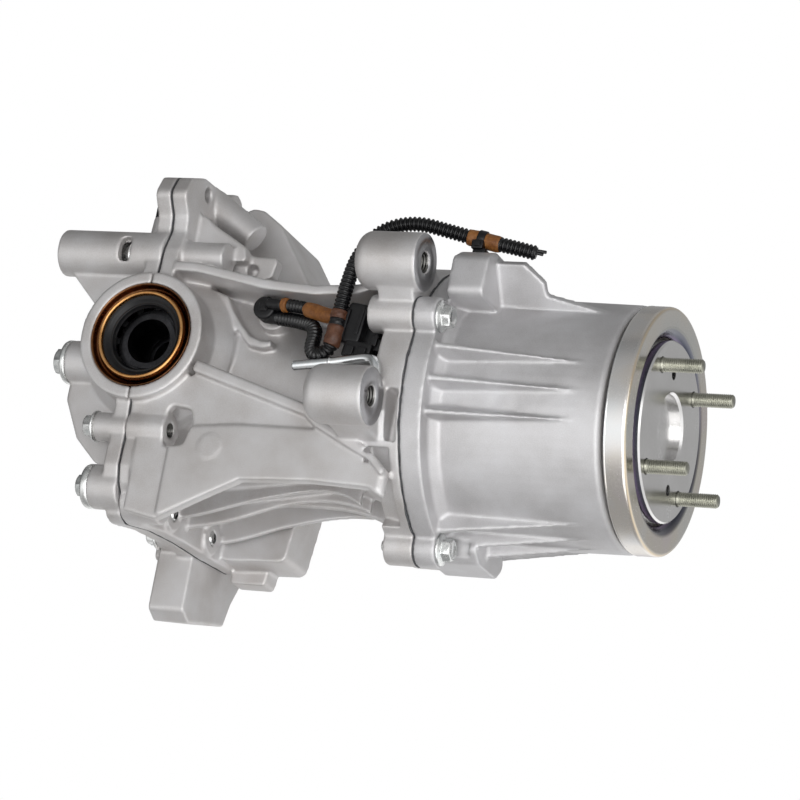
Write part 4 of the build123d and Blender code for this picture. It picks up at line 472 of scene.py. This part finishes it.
def castCopy(node, pieceName, settings, wall=None):
    # the CAD solid's faces, and a wall where one is given, are merged and cut into an even grid; then vertex
    # v moves to v + pull (mean of its neighbours - v), in rounds, which softens the corners as casting does;
    # past the most triangles it may keep, the mesh is thinned
    shell = bmesh.new()
    shell.from_mesh(nodes[node].data)
    if wall:
        points, blocks = turnedWall(wall)
        added = bpy.data.meshes.new("wall")
        added.from_pydata(points, [], faceList(blocks))
        shell.from_mesh(added)
        bpy.data.meshes.remove(added)
    bmesh.ops.remove_doubles(shell, verts=shell.verts, dist=settings["weld"])
    mesh = bpy.data.meshes.new(pieceName)
    shell.to_mesh(mesh)
    shell.free()
    piece = bpy.data.objects.new(pieceName, mesh)
    bpy.context.scene.collection.objects.link(piece)
    grid = piece.modifiers.new("grid", "REMESH")
    grid.mode, grid.voxel_size = "VOXEL", settings["voxel"]
    smooth = piece.modifiers.new("rounding", "SMOOTH")
    smooth.factor, smooth.iterations = settings["pull"], settings["rounds"]
    applyAll(piece)
    count = sum(len(face.vertices) - 2 for face in piece.data.polygons)
    if count > settings["keep"]:
        thin = piece.modifiers.new("thinning", "DECIMATE")
        thin.ratio = settings["keep"] / count
        applyAll(piece)
    piece.data.shade_smooth()
    piece.data.materials.clear()
    piece.data.materials.append(finishes[settings["finish"]])
    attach(piece, bodyOf[node])
    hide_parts(node)
    print(pieceName, count, "->", len(piece.data.polygons), "faces")


castCopy("carrier_case", "carrierCasting", casting)
castCopy("rear_cover", "coverCasting", dict(casting, keep=120000), domeWall)
castCopy("coupling_housing", "frontCasting", dict(casting, keep=150000, finish="cast_front"))

# shapes carried along a line or spun about an axis; fineStep spaces a line's points, in metres
fineStep = 0.0005


def routeLine(route, step=fineStep):
    # the route in millimetres is a NURBS line's control points; its points are then spaced evenly along it
    curve = bpy.data.curves.new("route", "CURVE")
    curve.dimensions = "3D"
    spline = curve.splines.new("NURBS")
    spline.points.add(len(route) - 1)
    spline.points.foreach_set("co", [value for point in route for value in (*np.array(point) / 1000, 1.0)])
    spline.order_u = 3
    spline.use_endpoint_u = True
    curve.resolution_u = 32
    holder = bpy.data.objects.new("route", curve)
    mesh = bpy.data.meshes.new_from_object(holder)
    line = np.empty(len(mesh.vertices) * 3)
    mesh.vertices.foreach_get("co", line)
    line = line.reshape(-1, 3)
    bpy.data.objects.remove(holder)
    bpy.data.curves.remove(curve)
    bpy.data.meshes.remove(mesh)
    along = np.concatenate([[0], np.cumsum(np.linalg.norm(np.diff(line, axis=0), axis=1))])
    places = np.linspace(0, along[-1], max(2, int(round(along[-1] / step)) + 1))
    return np.stack([np.interp(places, along, line[:, axis]) for axis in range(3)], 1), places


def ringsAlong(line, radius, sides):
    # ring at s: line(s) + r(s, a) (cos a U + sin a V), T the line's direction, U = Y x T made unit, V = T x U
    tangent = np.gradient(line, axis=0)
    tangent /= np.linalg.norm(tangent, axis=1)[:, None]
    across = np.cross((0.0, 1.0, 0.0), tangent)
    across /= np.linalg.norm(across, axis=1)[:, None]
    other = np.cross(tangent, across)
    turn = np.linspace(0, 2 * np.pi, sides, endpoint=False)
    ring = np.cos(turn)[None, :, None] * across[:, None] + np.sin(turn)[None, :, None] * other[:, None]
    reach = radius if np.ndim(radius) == 2 else np.repeat(np.asarray(radius)[:, None], sides, 1)
    return (line[:, None] + reach[..., None] * ring).reshape(-1, 3)


def closedTube(line, radius, sides):
    # rings along the line, drawn in to a point at both ends so that the skin is closed
    points = ringsAlong(line, radius, sides)
    count = len(points)
    j = np.arange(sides)
    k = (j + 1) % sides
    first = np.stack([np.full(sides, count), k, j], 1)
    last = np.stack([np.full(sides, count + 1), count - sides + j, count - sides + k], 1)
    return np.concatenate([points, line[:1], line[-1:]]), [gridFaces(len(line), sides), first, last]


def spun(along, reach, centre, axis):
    # point (s, a) = centre + s axis + r(s, a) (cos a U + sin a V), U = axis x up, V = axis x U, in mm
    axis = np.array(axis, float)
    up = np.array((0, 0, 1.0)) if abs(axis[2]) < 0.9 else np.array((1.0, 0, 0))
    u = np.cross(axis, up)
    v = np.cross(axis, u)
    turn = np.linspace(0, 2 * np.pi, reach.shape[1], endpoint=False)
    ring = np.cos(turn)[:, None] * u + np.sin(turn)[:, None] * v
    grid = np.array(centre, float) + np.asarray(along)[:, None, None] * axis + reach[..., None] * ring[None]
    return grid.reshape(-1, 3) / 1000, [gridFaces(*reach.shape)]


def lathe(profile, centre, axis, sides=96):
    # a profile of points (along, radius) in millimetres, spun about an axis through the centre
    along, radius = np.array(profile, float).T
    return spun(along, np.repeat(radius[:, None], sides, 1), centre, axis)


def closedLathe(profile, centre, axis):
    # the profile's last point is joined to its first
    return lathe(profile + profile[:1], centre, axis)


# studs of the input flange, with rolled threads
studs = dict(circle=50.2, radius=4.98, pitch=1.5, depth=0.92, out=28.8, collar=5.55, flange=14.0,
             collarEnd=-0.02, chamfer=1.3, narrow=1.15, plain=1.2, sides=28, angles=(45, 135, 225, 315),
             rowsPerTurn=6)


def threadedStud(settings, angle):
    # r(x, a) = R - d w(x / p - a / 2 pi), w a triangle wave from 0 to 1; plain collar and neck, chamfered tip
    y, z = settings["circle"] * math.cos(angle), settings["circle"] * math.sin(angle)
    rows = np.arange(0, settings["out"] + 0.001, settings["pitch"] / settings["rowsPerTurn"])
    x = np.concatenate([[-settings["flange"], settings["collarEnd"]], rows])
    turn = np.linspace(0, 2 * np.pi, settings["sides"], endpoint=False)
    phase = x[:, None] / settings["pitch"] - turn[None] / (2 * np.pi)
    wave = np.abs((phase % 1) * 2 - 1)
    start = np.clip((x - settings["plain"]) / settings["pitch"], 0, 1)[:, None]
    radius = settings["radius"] - settings["depth"] * (1 - wave) * start
    radius[:2] = settings["collar"]
    tip = np.clip((x - (settings["out"] - settings["chamfer"])) / settings["chamfer"], 0, 1)
    radius = np.minimum(radius, settings["radius"] - tip[:, None] * settings["narrow"])
    line = np.stack([x, np.full_like(x, y), np.full_like(x, z)], 1) / 1000
    return closedTube(line, radius / 1000, settings["sides"])


meshPiece("flangeStuds", *joined([threadedStud(studs, math.radians(angle)) for angle in studs["angles"]]),
          "stud_zinc", "zinc", ["input_studs"], "input_shaft")
print("studs threaded")

# dust cover: rounded shoulder, flat ring and a lip turned in to the flange; (behind the front, radius)
dustCover = dict(front=-1.5, sides=160,
                 outside=[(15.4, 83.2), (15.5, 83.7), (15.3, 84.0), (14.6, 84.05), (14.3, 83.9), (14.0, 83.9),
                          (3.0, 83.9), (2.7, 83.9), (1.5, 83.65), (0.7, 83.05), (0.2, 82.2), (0.0, 81.2),
                          (0.0, 80.9), (0.0, 70.8), (0.0, 70.4), (0.25, 69.2), (0.9, 68.0), (2.0, 66.8),
                          (3.4, 65.6), (4.6, 64.4), (5.2, 63.3)],
                 inside=[(6.4, 63.4), (5.9, 65.0), (4.6, 66.8), (3.0, 68.3), (1.9, 69.8), (1.6, 71.0),
                         (1.6, 80.6), (2.2, 81.9), (3.2, 82.4), (15.4, 82.4), (15.4, 83.2)])
meshPiece("dustCoverSheet", *lathe(dustCover["outside"] + dustCover["inside"], (dustCover["front"], 0, 0),
                                   (-1, 0, 0), dustCover["sides"]),
          "cover_zinc", "plated_sheet", ["dust_cover"], "input_shaft")
print("dust cover made")

# hexagon bolts and plugs: x is the seat, grip the shank's length, flange (radius, thickness), places (y, z)
hexHeads = dict(
    seamBolts=dict(node="cover_bolts", x=-384.0, facing=-1, shank=4.95, grip=42, flange=(11.0, 2.2),
                   across=14, tall=9.0, places=[(-79.0, -43.5), (-21.0, -86.0), (43.0, -84.0), (98.0, -80.0),
                                                (99.0, 76.0), (52.0, 128.0), (-20.5, 140.0)]),
    frontBolts=dict(node="housing_bolts", x=-138.0, facing=1, shank=4.95, grip=42, flange=(11.0, 2.2),
                    across=14, tall=9.0, circle=103.0, angles=(156, 255, 345, 66)),
    fillPlug=dict(node="fill_plug", x=-424.0, facing=-1, shank=7.9, grip=16, flange=(15.5, 5.0),
                  across=17, tall=12.0, places=[(-60.0, 8.0)]),
    lowBolt=dict(node="low_bolt", x=-381.0, facing=-1, shank=5.9, grip=43, flange=(15.5, 7.0),
                 across=14.5, tall=13.0, places=[(-70.0, -84.0)]),
    longBolt=dict(node="long_bolt", x=-386.0, facing=-1, shank=5.9, grip=48, flange=(9.5, 3.0),
                  across=14.5, tall=12.0, places=[(-72.0, 85.0)]))
# turn of the first head and the step to the next, in radians
hexTurn = dict(first=0.2, step=0.37)


def hexBolt(settings, place, turned, sides=72):
    # r(h, a) = min(R(h), A(h) / cos b), b the angle from the middle of the nearest flat: the round profile R
    # cuts the hexagon A, which gives flange, flats and top chamfer in one skin; rows are (h, R, A)
    wide, thick = settings["flange"]
    flat, tall, shank = settings["across"] / 2, settings["tall"], settings["shank"]
    none = 99.0  # a radius that cuts nothing
    rows = np.array([
        (-settings["grip"], shank * 0.75, none), (-settings["grip"] + 1.5, shank, none), (-0.05, shank, none),
        (-0.05, wide - 0.5, none), (0.35, wide, none), (thick * 0.55, wide, none),
        (thick * 0.75, wide - 0.5, none), (thick + 0.4, flat * 1.2, none), (thick + 0.7, none, flat + 0.1),
        (thick + 1.2, none, flat), (tall - 1.3, flat * 1.16, flat), (tall - 0.35, flat * 1.0, flat),
        (tall, flat * 0.88, flat), (tall, flat * 0.74, none), (tall - 0.6, flat * 0.62, none),
        (tall - 0.7, 0.05, none)])
    turn = np.linspace(0, 2 * np.pi, sides, endpoint=False)
    b = (turn % (np.pi / 3)) - np.pi / 6
    reach = np.minimum(rows[:, 1:2], rows[:, 2:3] / np.cos(b)[None])
    x = settings["x"] + settings["facing"] * rows[:, 0]
    spin = turn + turned
    grid = np.stack([np.repeat(x[:, None], sides, 1), place[0] + reach * np.cos(spin)[None],
                     place[1] + reach * np.sin(spin)[None]], -1)
    return grid.reshape(-1, 3) / 1000, [gridFaces(len(rows), sides)]


def onCircle(circle, angles):
    return [(circle * math.cos(a), circle * math.sin(a)) for a in map(math.radians, angles)]


for name, settings in hexHeads.items():
    places = settings.get("places") or onCircle(settings["circle"], settings["angles"])
    bolts = [hexBolt(settings, place, hexTurn["first"] + hexTurn["step"] * i)
             for i, place in enumerate(places)]
    meshPiece(name, *joined(bolts), "zinc", "zinc", [settings["node"]])
print("bolts made")

# machined faces and tapped holes let into the castings; the axis points into the casting
facings = [
    dict(centre=(-165.0, -121.0, -24.7), axis=(-1, 0, 0), wide=19.4, hole=7.0, deep=26, pitch=2.0),
    dict(centre=(-150.0, -108.0, 74.6), axis=(-1, 0, 0), wide=19.4, hole=7.0, deep=26, pitch=2.0)]
seamTap = dict(centre=(-327.6, -79.0, -43.5), axis=(-1, 0, 0), hole=5.0, deep=9, pitch=1.5)
tapShape = dict(start=0.9, clear=0.1, height=0.5, cone=3.0, tip=0.05, sides=64, rowsPerTurn=6)


def facedRing(settings):
    # profile (depth, radius) spun about the hole: a flat turned face with a chamfered edge, its back let in
    wide, hole = settings["wide"], settings["hole"]
    profile = [(1.2, wide + 0.1), (0.25, wide), (-0.08, wide - 0.4), (-0.08, hole + 1.2), (0.9, hole + 0.1),
               (1.2, hole + 0.1)]
    return closedLathe(profile, settings["centre"], settings["axis"])


def tappedWall(settings, shape):
    # wall of the hole: r(s, a) = R - d w(s / p - a / 2 pi), w a triangle wave; closed by a cone at its bottom
    pitch, sides = settings["pitch"], shape["sides"]
    deep = shape["start"] + np.arange(0, settings["deep"], pitch / shape["rowsPerTurn"])
    turn = np.linspace(0, 2 * np.pi, sides, endpoint=False)
    wave = np.abs(((deep[:, None] / pitch - turn[None] / (2 * np.pi)) % 1) * 2 - 1)
    rise = np.clip((deep - shape["start"]) / pitch, 0, 1)[:, None]
    wall = settings["hole"] - shape["clear"] - pitch * shape["height"] * wave * rise
    along = np.concatenate([deep, [deep[-1] + shape["cone"]]])
    reach = np.concatenate([wall, np.full((1, sides), shape["tip"])])
    return spun(along, reach, settings["centre"], settings["axis"])


meshPiece("bossFaces", *joined([facedRing(settings) for settings in facings]),
          "machined_aluminium", "cast_aluminium")
# the tapped holes' walls take the dark finish: painted shade inside the holes
meshPiece("bossThreads", *joined([tappedWall(settings, tapShape) for settings in (*facings, seamTap)]),
          "dark_bore", "cast_aluminium")
print("boss faces made")

# squeezed sealing bead at the front seam; waves are (turns, shift, share)
frontBead = dict(x=-153.3, circle=103.0, ear=13.0, bolts=(156, 255, 345, 66), thickness=0.42, proud=0.05,
                 sides=8, steps=720, wander=1.1, waves=[(7, 0.6, 0.4), (17, 2.1, 0.35), (41, 0.0, 0.25)],
                 swell=[(23, 1.0, 0.35), (11, 0.4, 0.3)])


def sineSum(a, waves):
    return sum(share * np.sin(turns * a + shift) for turns, shift, share in waves)


def seamBead(settings):
    # outline r(a) = max(R, R cos b + sqrt(e^2 - R^2 sin^2 b)), b the angle from an ear; x wanders by sines
    circle = settings["circle"]
    a = np.linspace(0, 2 * np.pi, settings["steps"], endpoint=False)
    b = a[None] - np.radians(settings["bolts"])[:, None]
    inside = settings["ear"] ** 2 - (circle * np.sin(b)) ** 2
    far = circle * np.cos(b) + np.sqrt(np.maximum(inside, 0))
    ears = np.where((inside > 0) & (np.cos(b) > 0), far, circle)
    reach = np.maximum(circle, ears.max(0)) + settings["proud"]
    thick = settings["thickness"] * (1 + sineSum(a, settings["swell"]))
    x = settings["x"] + settings["wander"] * sineSum(a, settings["waves"])
    line = np.stack([x, reach * np.cos(a), reach * np.sin(a)], 1) / 1000
    around = np.roll(line, -1, 0) - np.roll(line, 1, 0)
    around /= np.linalg.norm(around, axis=1)[:, None]
    along = np.tile((1.0, 0, 0), (len(a), 1))
    out = np.cross(along, around)
    turn = np.linspace(0, 2 * np.pi, settings["sides"], endpoint=False)
    ring = np.cos(turn)[None, :, None] * along[:, None] + np.sin(turn)[None, :, None] * out[:, None]
    points = (line[:, None] + thick[:, None, None] / 1000 * ring).reshape(-1, 3)
    return points, [gridFaces(len(a) + 1, settings["sides"]) % len(points)]


meshPiece("frontSeamBead", *seamBead(frontBead), "sealant", "sealant")

# output seals: brown-coated rim and channel, copper-coloured bead, black lip; (into the bore, radius)
outputSeals = dict(
    places=[((-357.6, -95.0, 19.5), (0, 1, 0)), ((-357.6, 106.0, 19.5), (0, -1, 0))],
    rim=[(0.2, 37.35), (-0.3, 37.2), (-0.3, 36.9), (0.5, 36.3), (2.0, 35.8), (3.6, 35.2), (4.4, 34.4),
         (4.5, 32.3), (5.4, 32.3), (5.4, 37.35)],
    bead=[(4.8, 32.6), (2.2, 32.4), (0.6, 32.1), (-0.2, 31.6), (-0.5, 31.0), (-0.5, 30.4), (-0.1, 29.8),
          (0.8, 29.4), (2.4, 29.3), (4.8, 29.25)],
    lip=[(3.0, 29.9), (2.7, 29.2), (3.4, 28.6), (3.3, 28.1), (4.6, 26.9), (5.6, 25.6), (6.0, 24.9),
         (5.6, 24.5), (5.7, 24.0), (6.4, 23.7), (7.4, 23.9), (8.6, 22.6), (9.2, 22.4), (9.6, 23.0),
         (9.6, 29.9)])


def sealPart(part):
    # the part's profile spun about the axle, once from each end
    return joined([closedLathe(outputSeals[part], *place) for place in outputSeals["places"]])


meshPiece("sealRims", *sealPart("rim"), "brown_coat", "seal_rubber")
meshPiece("sealBeads", *sealPart("bead"), "bronze_case", "seal_rubber", ["output_seals"])
meshPiece("sealLips", *sealPart("lip"), "seal_rubber", "seal_rubber")
print("seals made")

# harness: corrugated conduit and lead, tape wraps, tie, bare wire ends; routes are the CAD's, in millimetres;
# wraps are (start and end as shares of the route, radius); fold waves (height, turns, along, shift)
harness = dict(
    route=[(-267, -70, 44), (-249, -75, 41), (-231.5, -83, 34), (-230, -91, 14.5), (-220.5, -96, 9),
           (-211.5, -98, 15), (-210.5, -98, 36), (-209.5, -96.5, 60), (-208, -91, 85), (-196, -86, 105.5),
           (-174, -82, 113), (-150, -75, 109.5), (-126, -70, 105.2), (-104, -69, 101.8), (-90, -66, 99.5)],
    lead=[(-263, -76.8, 51.5), (-249, -79.8, 50), (-235, -84, 45), (-222, -86.5, 41), (-211, -86.5, 41)],
    radius=5.2, leadRadius=4.5, pitch=2.95, depth=1.25, sides=24, rowsPerRib=9,
    brownWraps=[(0.284, 0.334, 5.9), (0.350, 0.373, 5.7)], amberWraps=[(0.825, 0.910, 5.7)],
    band=(0.332, 0.352, 5.4), leadWraps=[(0.0, 0.085, 4.9), (0.40, 0.90, 5.3)])
wrapFolds = dict(sides=40, edge=0.45, edgeShare=1 / 12, waves=[(0.16, 3, 9, 0), (0.10, 5, -14, 1)])


def corrugated(route, radius, settings):
    # r(s) = R - d ((1 - c) / 2)^1.5 with c = cos(2 pi s / p): broad crests and narrow valleys
    pitch = settings["pitch"] / 1000
    line, places = routeLine(route, pitch / settings["rowsPerRib"])
    c = np.cos(2 * np.pi * places / pitch)
    reach = (radius - settings["depth"] * ((1 - c) / 2) ** 1.5) / 1000
    return closedTube(line, reach, settings["sides"])


def tapeWrap(route, start, end, radius):
    # r(s, a) = R + folds, sums of sines in turn and distance, drawn in at both edges like a cut tape
    line, places = routeLine(route)
    share = places / places[-1]
    inside = (share >= start) & (share <= end)
    t = ((share[inside] - start) / (end - start))[:, None]
    turn = np.linspace(0, 2 * np.pi, wrapFolds["sides"], endpoint=False)[None]
    fold = sum(height * np.sin(turns * turn + slope * t + shift)
               for height, turns, slope, shift in wrapFolds["waves"])
    edge = wrapFolds["edge"] * np.clip(1 - np.minimum(t, 1 - t) / wrapFolds["edgeShare"], 0, 1)
    return closedTube(line[inside], (radius + fold - edge) / 1000, wrapFolds["sides"])


def signedPower(value, power):
    return np.sign(value) * np.abs(value) ** power


def roundedBlock(centre, size, power=0.28, turn=None, steps=28):
    # superellipsoid: (a C(u) C(v), b S(u) C(v), c S(v)), C and S the cosine and sine to a power, sign kept
    u = np.linspace(-np.pi, np.pi, steps, endpoint=False)
    v = np.linspace(-np.pi / 2, np.pi / 2, steps // 2 + 1)
    across, along = signedPower(np.cos(u), power), signedPower(np.sin(u), power)
    out, level = signedPower(np.cos(v), power), signedPower(np.sin(v), power)
    ball = np.stack([np.outer(out, across), np.outer(out, along), np.outer(level, np.ones_like(u))], -1)
    grid = (ball * np.array(size) / 2).reshape(-1, 3)
    if turn is not None:
        grid = grid @ turn
    return (grid + np.array(centre)) / 1000, [gridFaces(len(v), steps)]


def placeOn(route, share):
    # the point and direction at a share of the route's length, in millimetres
    line = routeLine(route)[0]
    k = int(share * (len(line) - 1))
    towards = line[min(k + 2, len(line) - 1)] - line[max(k - 2, 0)]
    return line[k] * 1000, towards / np.linalg.norm(towards)


def wrapsOn(route, wraps):
    return [tapeWrap(route, *wrap) for wrap in wraps]


meshPiece("corrugatedConduit", *corrugated(harness["route"], harness["radius"], harness),
          "conduit", "conduit", ["harness_conduit"])
meshPiece("corrugatedLead", *corrugated(harness["lead"], harness["leadRadius"], harness),
          "conduit", "conduit", ["sensor_lead"])
amberTape = wrapsOn(harness["route"], harness["amberWraps"]) + wrapsOn(harness["lead"], harness["leadWraps"])
meshPiece("tapeWraps", *joined(amberTape), "tape", "tape", ["harness_ties"])
meshPiece("brownWraps", *joined(wrapsOn(harness["route"], harness["brownWraps"])), "brown_tape", "tape")
meshPiece("darkBand", *tapeWrap(harness["route"], *harness["band"]), "black_plastic", "black_plastic")

# cable tie: its band, its head and tail by the band's middle, and its foot on the casting
tie = dict(share=0.862, width=5.4, inner=5.6, edge=6.5, outer=6.8, corner=0.3,
           blocks=[((-0.5, -4.6, -5.2), (8.4, 6.4, 6.6)), ((-0.3, -8.0, -5.0), (4.4, 1.4, 3.6))],
           foot=(0.8, -1.0), footHeight=95.8, footSize=(9.6, 10.0, 4.6))


def cableTie(settings):
    # the band's profile (along, radius) spun about the conduit, with superellipsoids for head, tail and foot
    middle, towards = placeOn(harness["route"], settings["share"])
    half, corner = settings["width"] / 2, settings["corner"]
    inner, edge, outer = settings["inner"], settings["edge"], settings["outer"]
    band = [(-half, inner), (-half, edge), (-half + corner, outer), (half - corner, outer), (half, edge),
            (half, inner)]
    foot = (middle[0] + settings["foot"][0], middle[1] + settings["foot"][1], settings["footHeight"])
    return joined([closedLathe(band, middle, towards)]
                  + [roundedBlock(middle + np.array(offset), size) for offset, size in settings["blocks"]]
                  + [roundedBlock(foot, settings["footSize"])])


meshPiece("cableTie", *cableTie(tie), "black_plastic", "black_plastic")

# bare wires at the conduit's end; lean is added to the conduit's direction
wires = dict(radius=1.15, root=1.2, rootDepth=1.0, chamfer=(0.5, 0.9), sides=20,
             ends=[dict(length=7.0, offset=(0, -0.7, 1.6), lean=(0, 0.05, 0.12)),
                   dict(length=4.5, offset=(0, 0.7, 0.5), lean=(0, 0.05, 0.02))])


def wireEnd(settings, length, offset, lean):
    # a pin's profile (along, radius) spun about the conduit's last direction plus the lean
    end, towards = placeOn(harness["route"], 1.0)
    back, tip = settings["chamfer"]
    profile = [(-settings["rootDepth"], settings["root"]), (length - back, settings["radius"]), (length, tip),
               (length, 0.02)]
    return lathe(profile, end + np.array(offset), towards + np.array(lean), settings["sides"])


meshPiece("wireEnds", *joined([wireEnd(wires, **end) for end in wires["ends"]]),
          "black_plastic", "black_plastic")

# breather tube with one rolled bead; collar and spread are shares of its length
breather = dict(route=[(-236.7, -96, 2.0), (-214, -100, 3.2), (-192, -102, 6.2), (-179, -104.5, 7.4),
                       (-171.5, -108.5, 2.5), (-170, -110, -9)],
                radius=3.3, bore=2.4, collar=0.36, spread=0.008, bead=0.5, sides=32, step=0.0004)


def pipeTube(settings):
    # r(s) = R + b exp(-((s - c) / w)^2), then a mouth turned in to the bore
    line, places = routeLine(settings["route"], settings["step"])
    bead = settings["bead"] * np.exp(-((places / places[-1] - settings["collar"]) / settings["spread"]) ** 2)
    body = closedTube(line, (settings["radius"] + bead) / 1000, settings["sides"])
    towards = (line[1] - line[0]) / np.linalg.norm(line[1] - line[0])
    rim, bore = settings["radius"], settings["bore"]
    mouth = lathe([(0.6, rim), (-0.4, rim - 0.1), (-0.7, rim - 0.35), (-0.6, bore + 0.1), (-0.02, bore)],
                  line[0] * 1000, towards, settings["sides"])
    return joined([body, mouth])


meshPiece("breatherTube", *pipeTube(breather), "bright_zinc", "zinc", ["breather_pipe"])
print("harness made")

# sensor: a capped disc with a key on its face, and two outlets; blocks are (offset from the seat, size),
# outlets (route, radius)
sensor = dict(seat=(-279.0, -58.0, 50.5), radius=8.3, sides=64,
              blocks=[((0, -16.6, 0), (6.4, 2.2, 6.4)), ((0.6, -17.6, -0.8), (3.2, 1.4, 3.4))],
              outlets=[("lead", 3.95), ("route", 4.6)], outletReach=(1.0, 13.0), outletRows=12,
              outletSides=24)


def sensorCap(settings):
    # stepped profile (out from the seat, radius) spun about -Y: foot, rim, groove, rim and rounded front
    r = settings["radius"]
    profile = [(-0.5, r - 1.5), (4.6, r - 1.5), (5.0, r - 0.6), (5.6, r), (9.2, r), (9.6, r - 0.4),
               (10.0, r), (14.6, r), (15.6, r - 0.4), (16.0, r - 1.2), (16.2, r - 2.4), (16.2, 0.05)]
    return lathe(profile, settings["seat"], (0, -1, 0), settings["sides"])


def outletTube(settings, route, radius):
    # straight tube: point s = start - s T, T the route's first direction
    start, towards = np.array(harness[route][0]), placeOn(harness[route], 0)[1]
    near, far = settings["outletReach"]
    line = np.linspace(start - near * towards, start - far * towards, settings["outletRows"]) / 1000
    return closedTube(line, np.full(len(line), radius) / 1000, settings["outletSides"])


sensorParts = ([sensorCap(sensor)]
               + [roundedBlock(np.add(sensor["seat"], offset), size) for offset, size in sensor["blocks"]]
               + [outletTube(sensor, *outlet) for outlet in sensor["outlets"]])
meshPiece("sensorCap", *joined(sensorParts), "black_plastic", "black_plastic", ["round_sensor"])
print("sensor made")

# connector: a body with a ribbed shell and a latch, and the boot of the lead, each block leaned about Y by an
# angle in degrees; blocks are (centre, size, power)
connector = dict(lean=8.0, blocks=[
    ((-199.5, -90.5, 34.0), (15.0, 12.0, 29.0), 0.22), ((-205.2, -91.5, 33.0), (3.0, 13.0, 22.0), 0.2),
    ((-195.0, -96.2, 36.0), (3.0, 2.4, 20.0), 0.2), ((-194.0, -90.0, 15.5), (21.0, 13.0, 12.0), 0.2),
    ((-190.5, -84.0, 29.5), (15.0, 10.0, 18.0), 0.25), ((-181.0, -88.5, 20.5), (9.0, 8.0, 9.0), 0.3),
    ((-183.5, -93.0, 23.0), (5.0, 3.0, 8.0), 0.3), ((-198.5, -97.2, 14.5), (6.0, 2.6, 7.0), 0.25),
    ((-189.5, -97.2, 13.5), (6.0, 2.6, 7.0), 0.25), ((-206.0, -87.5, 41.0), (10.0, 9.0, 9.0), 0.5)])


def connectorPieces(settings):
    # superellipsoids turned about Y: (x, z) becomes (c x + d z, c z - d x), c = cos(lean), d = sin(lean)
    c, d = math.cos(math.radians(settings["lean"])), math.sin(math.radians(settings["lean"]))
    turn = np.array(((c, 0, -d), (0, 1, 0), (d, 0, c)))
    return [roundedBlock(*block, turn) for block in settings["blocks"]]


meshPiece("connectorBody", *joined(connectorPieces(connector)), "black_plastic", "black_plastic",
          ["harness_connector"])
print("connector made")

print("scene done")
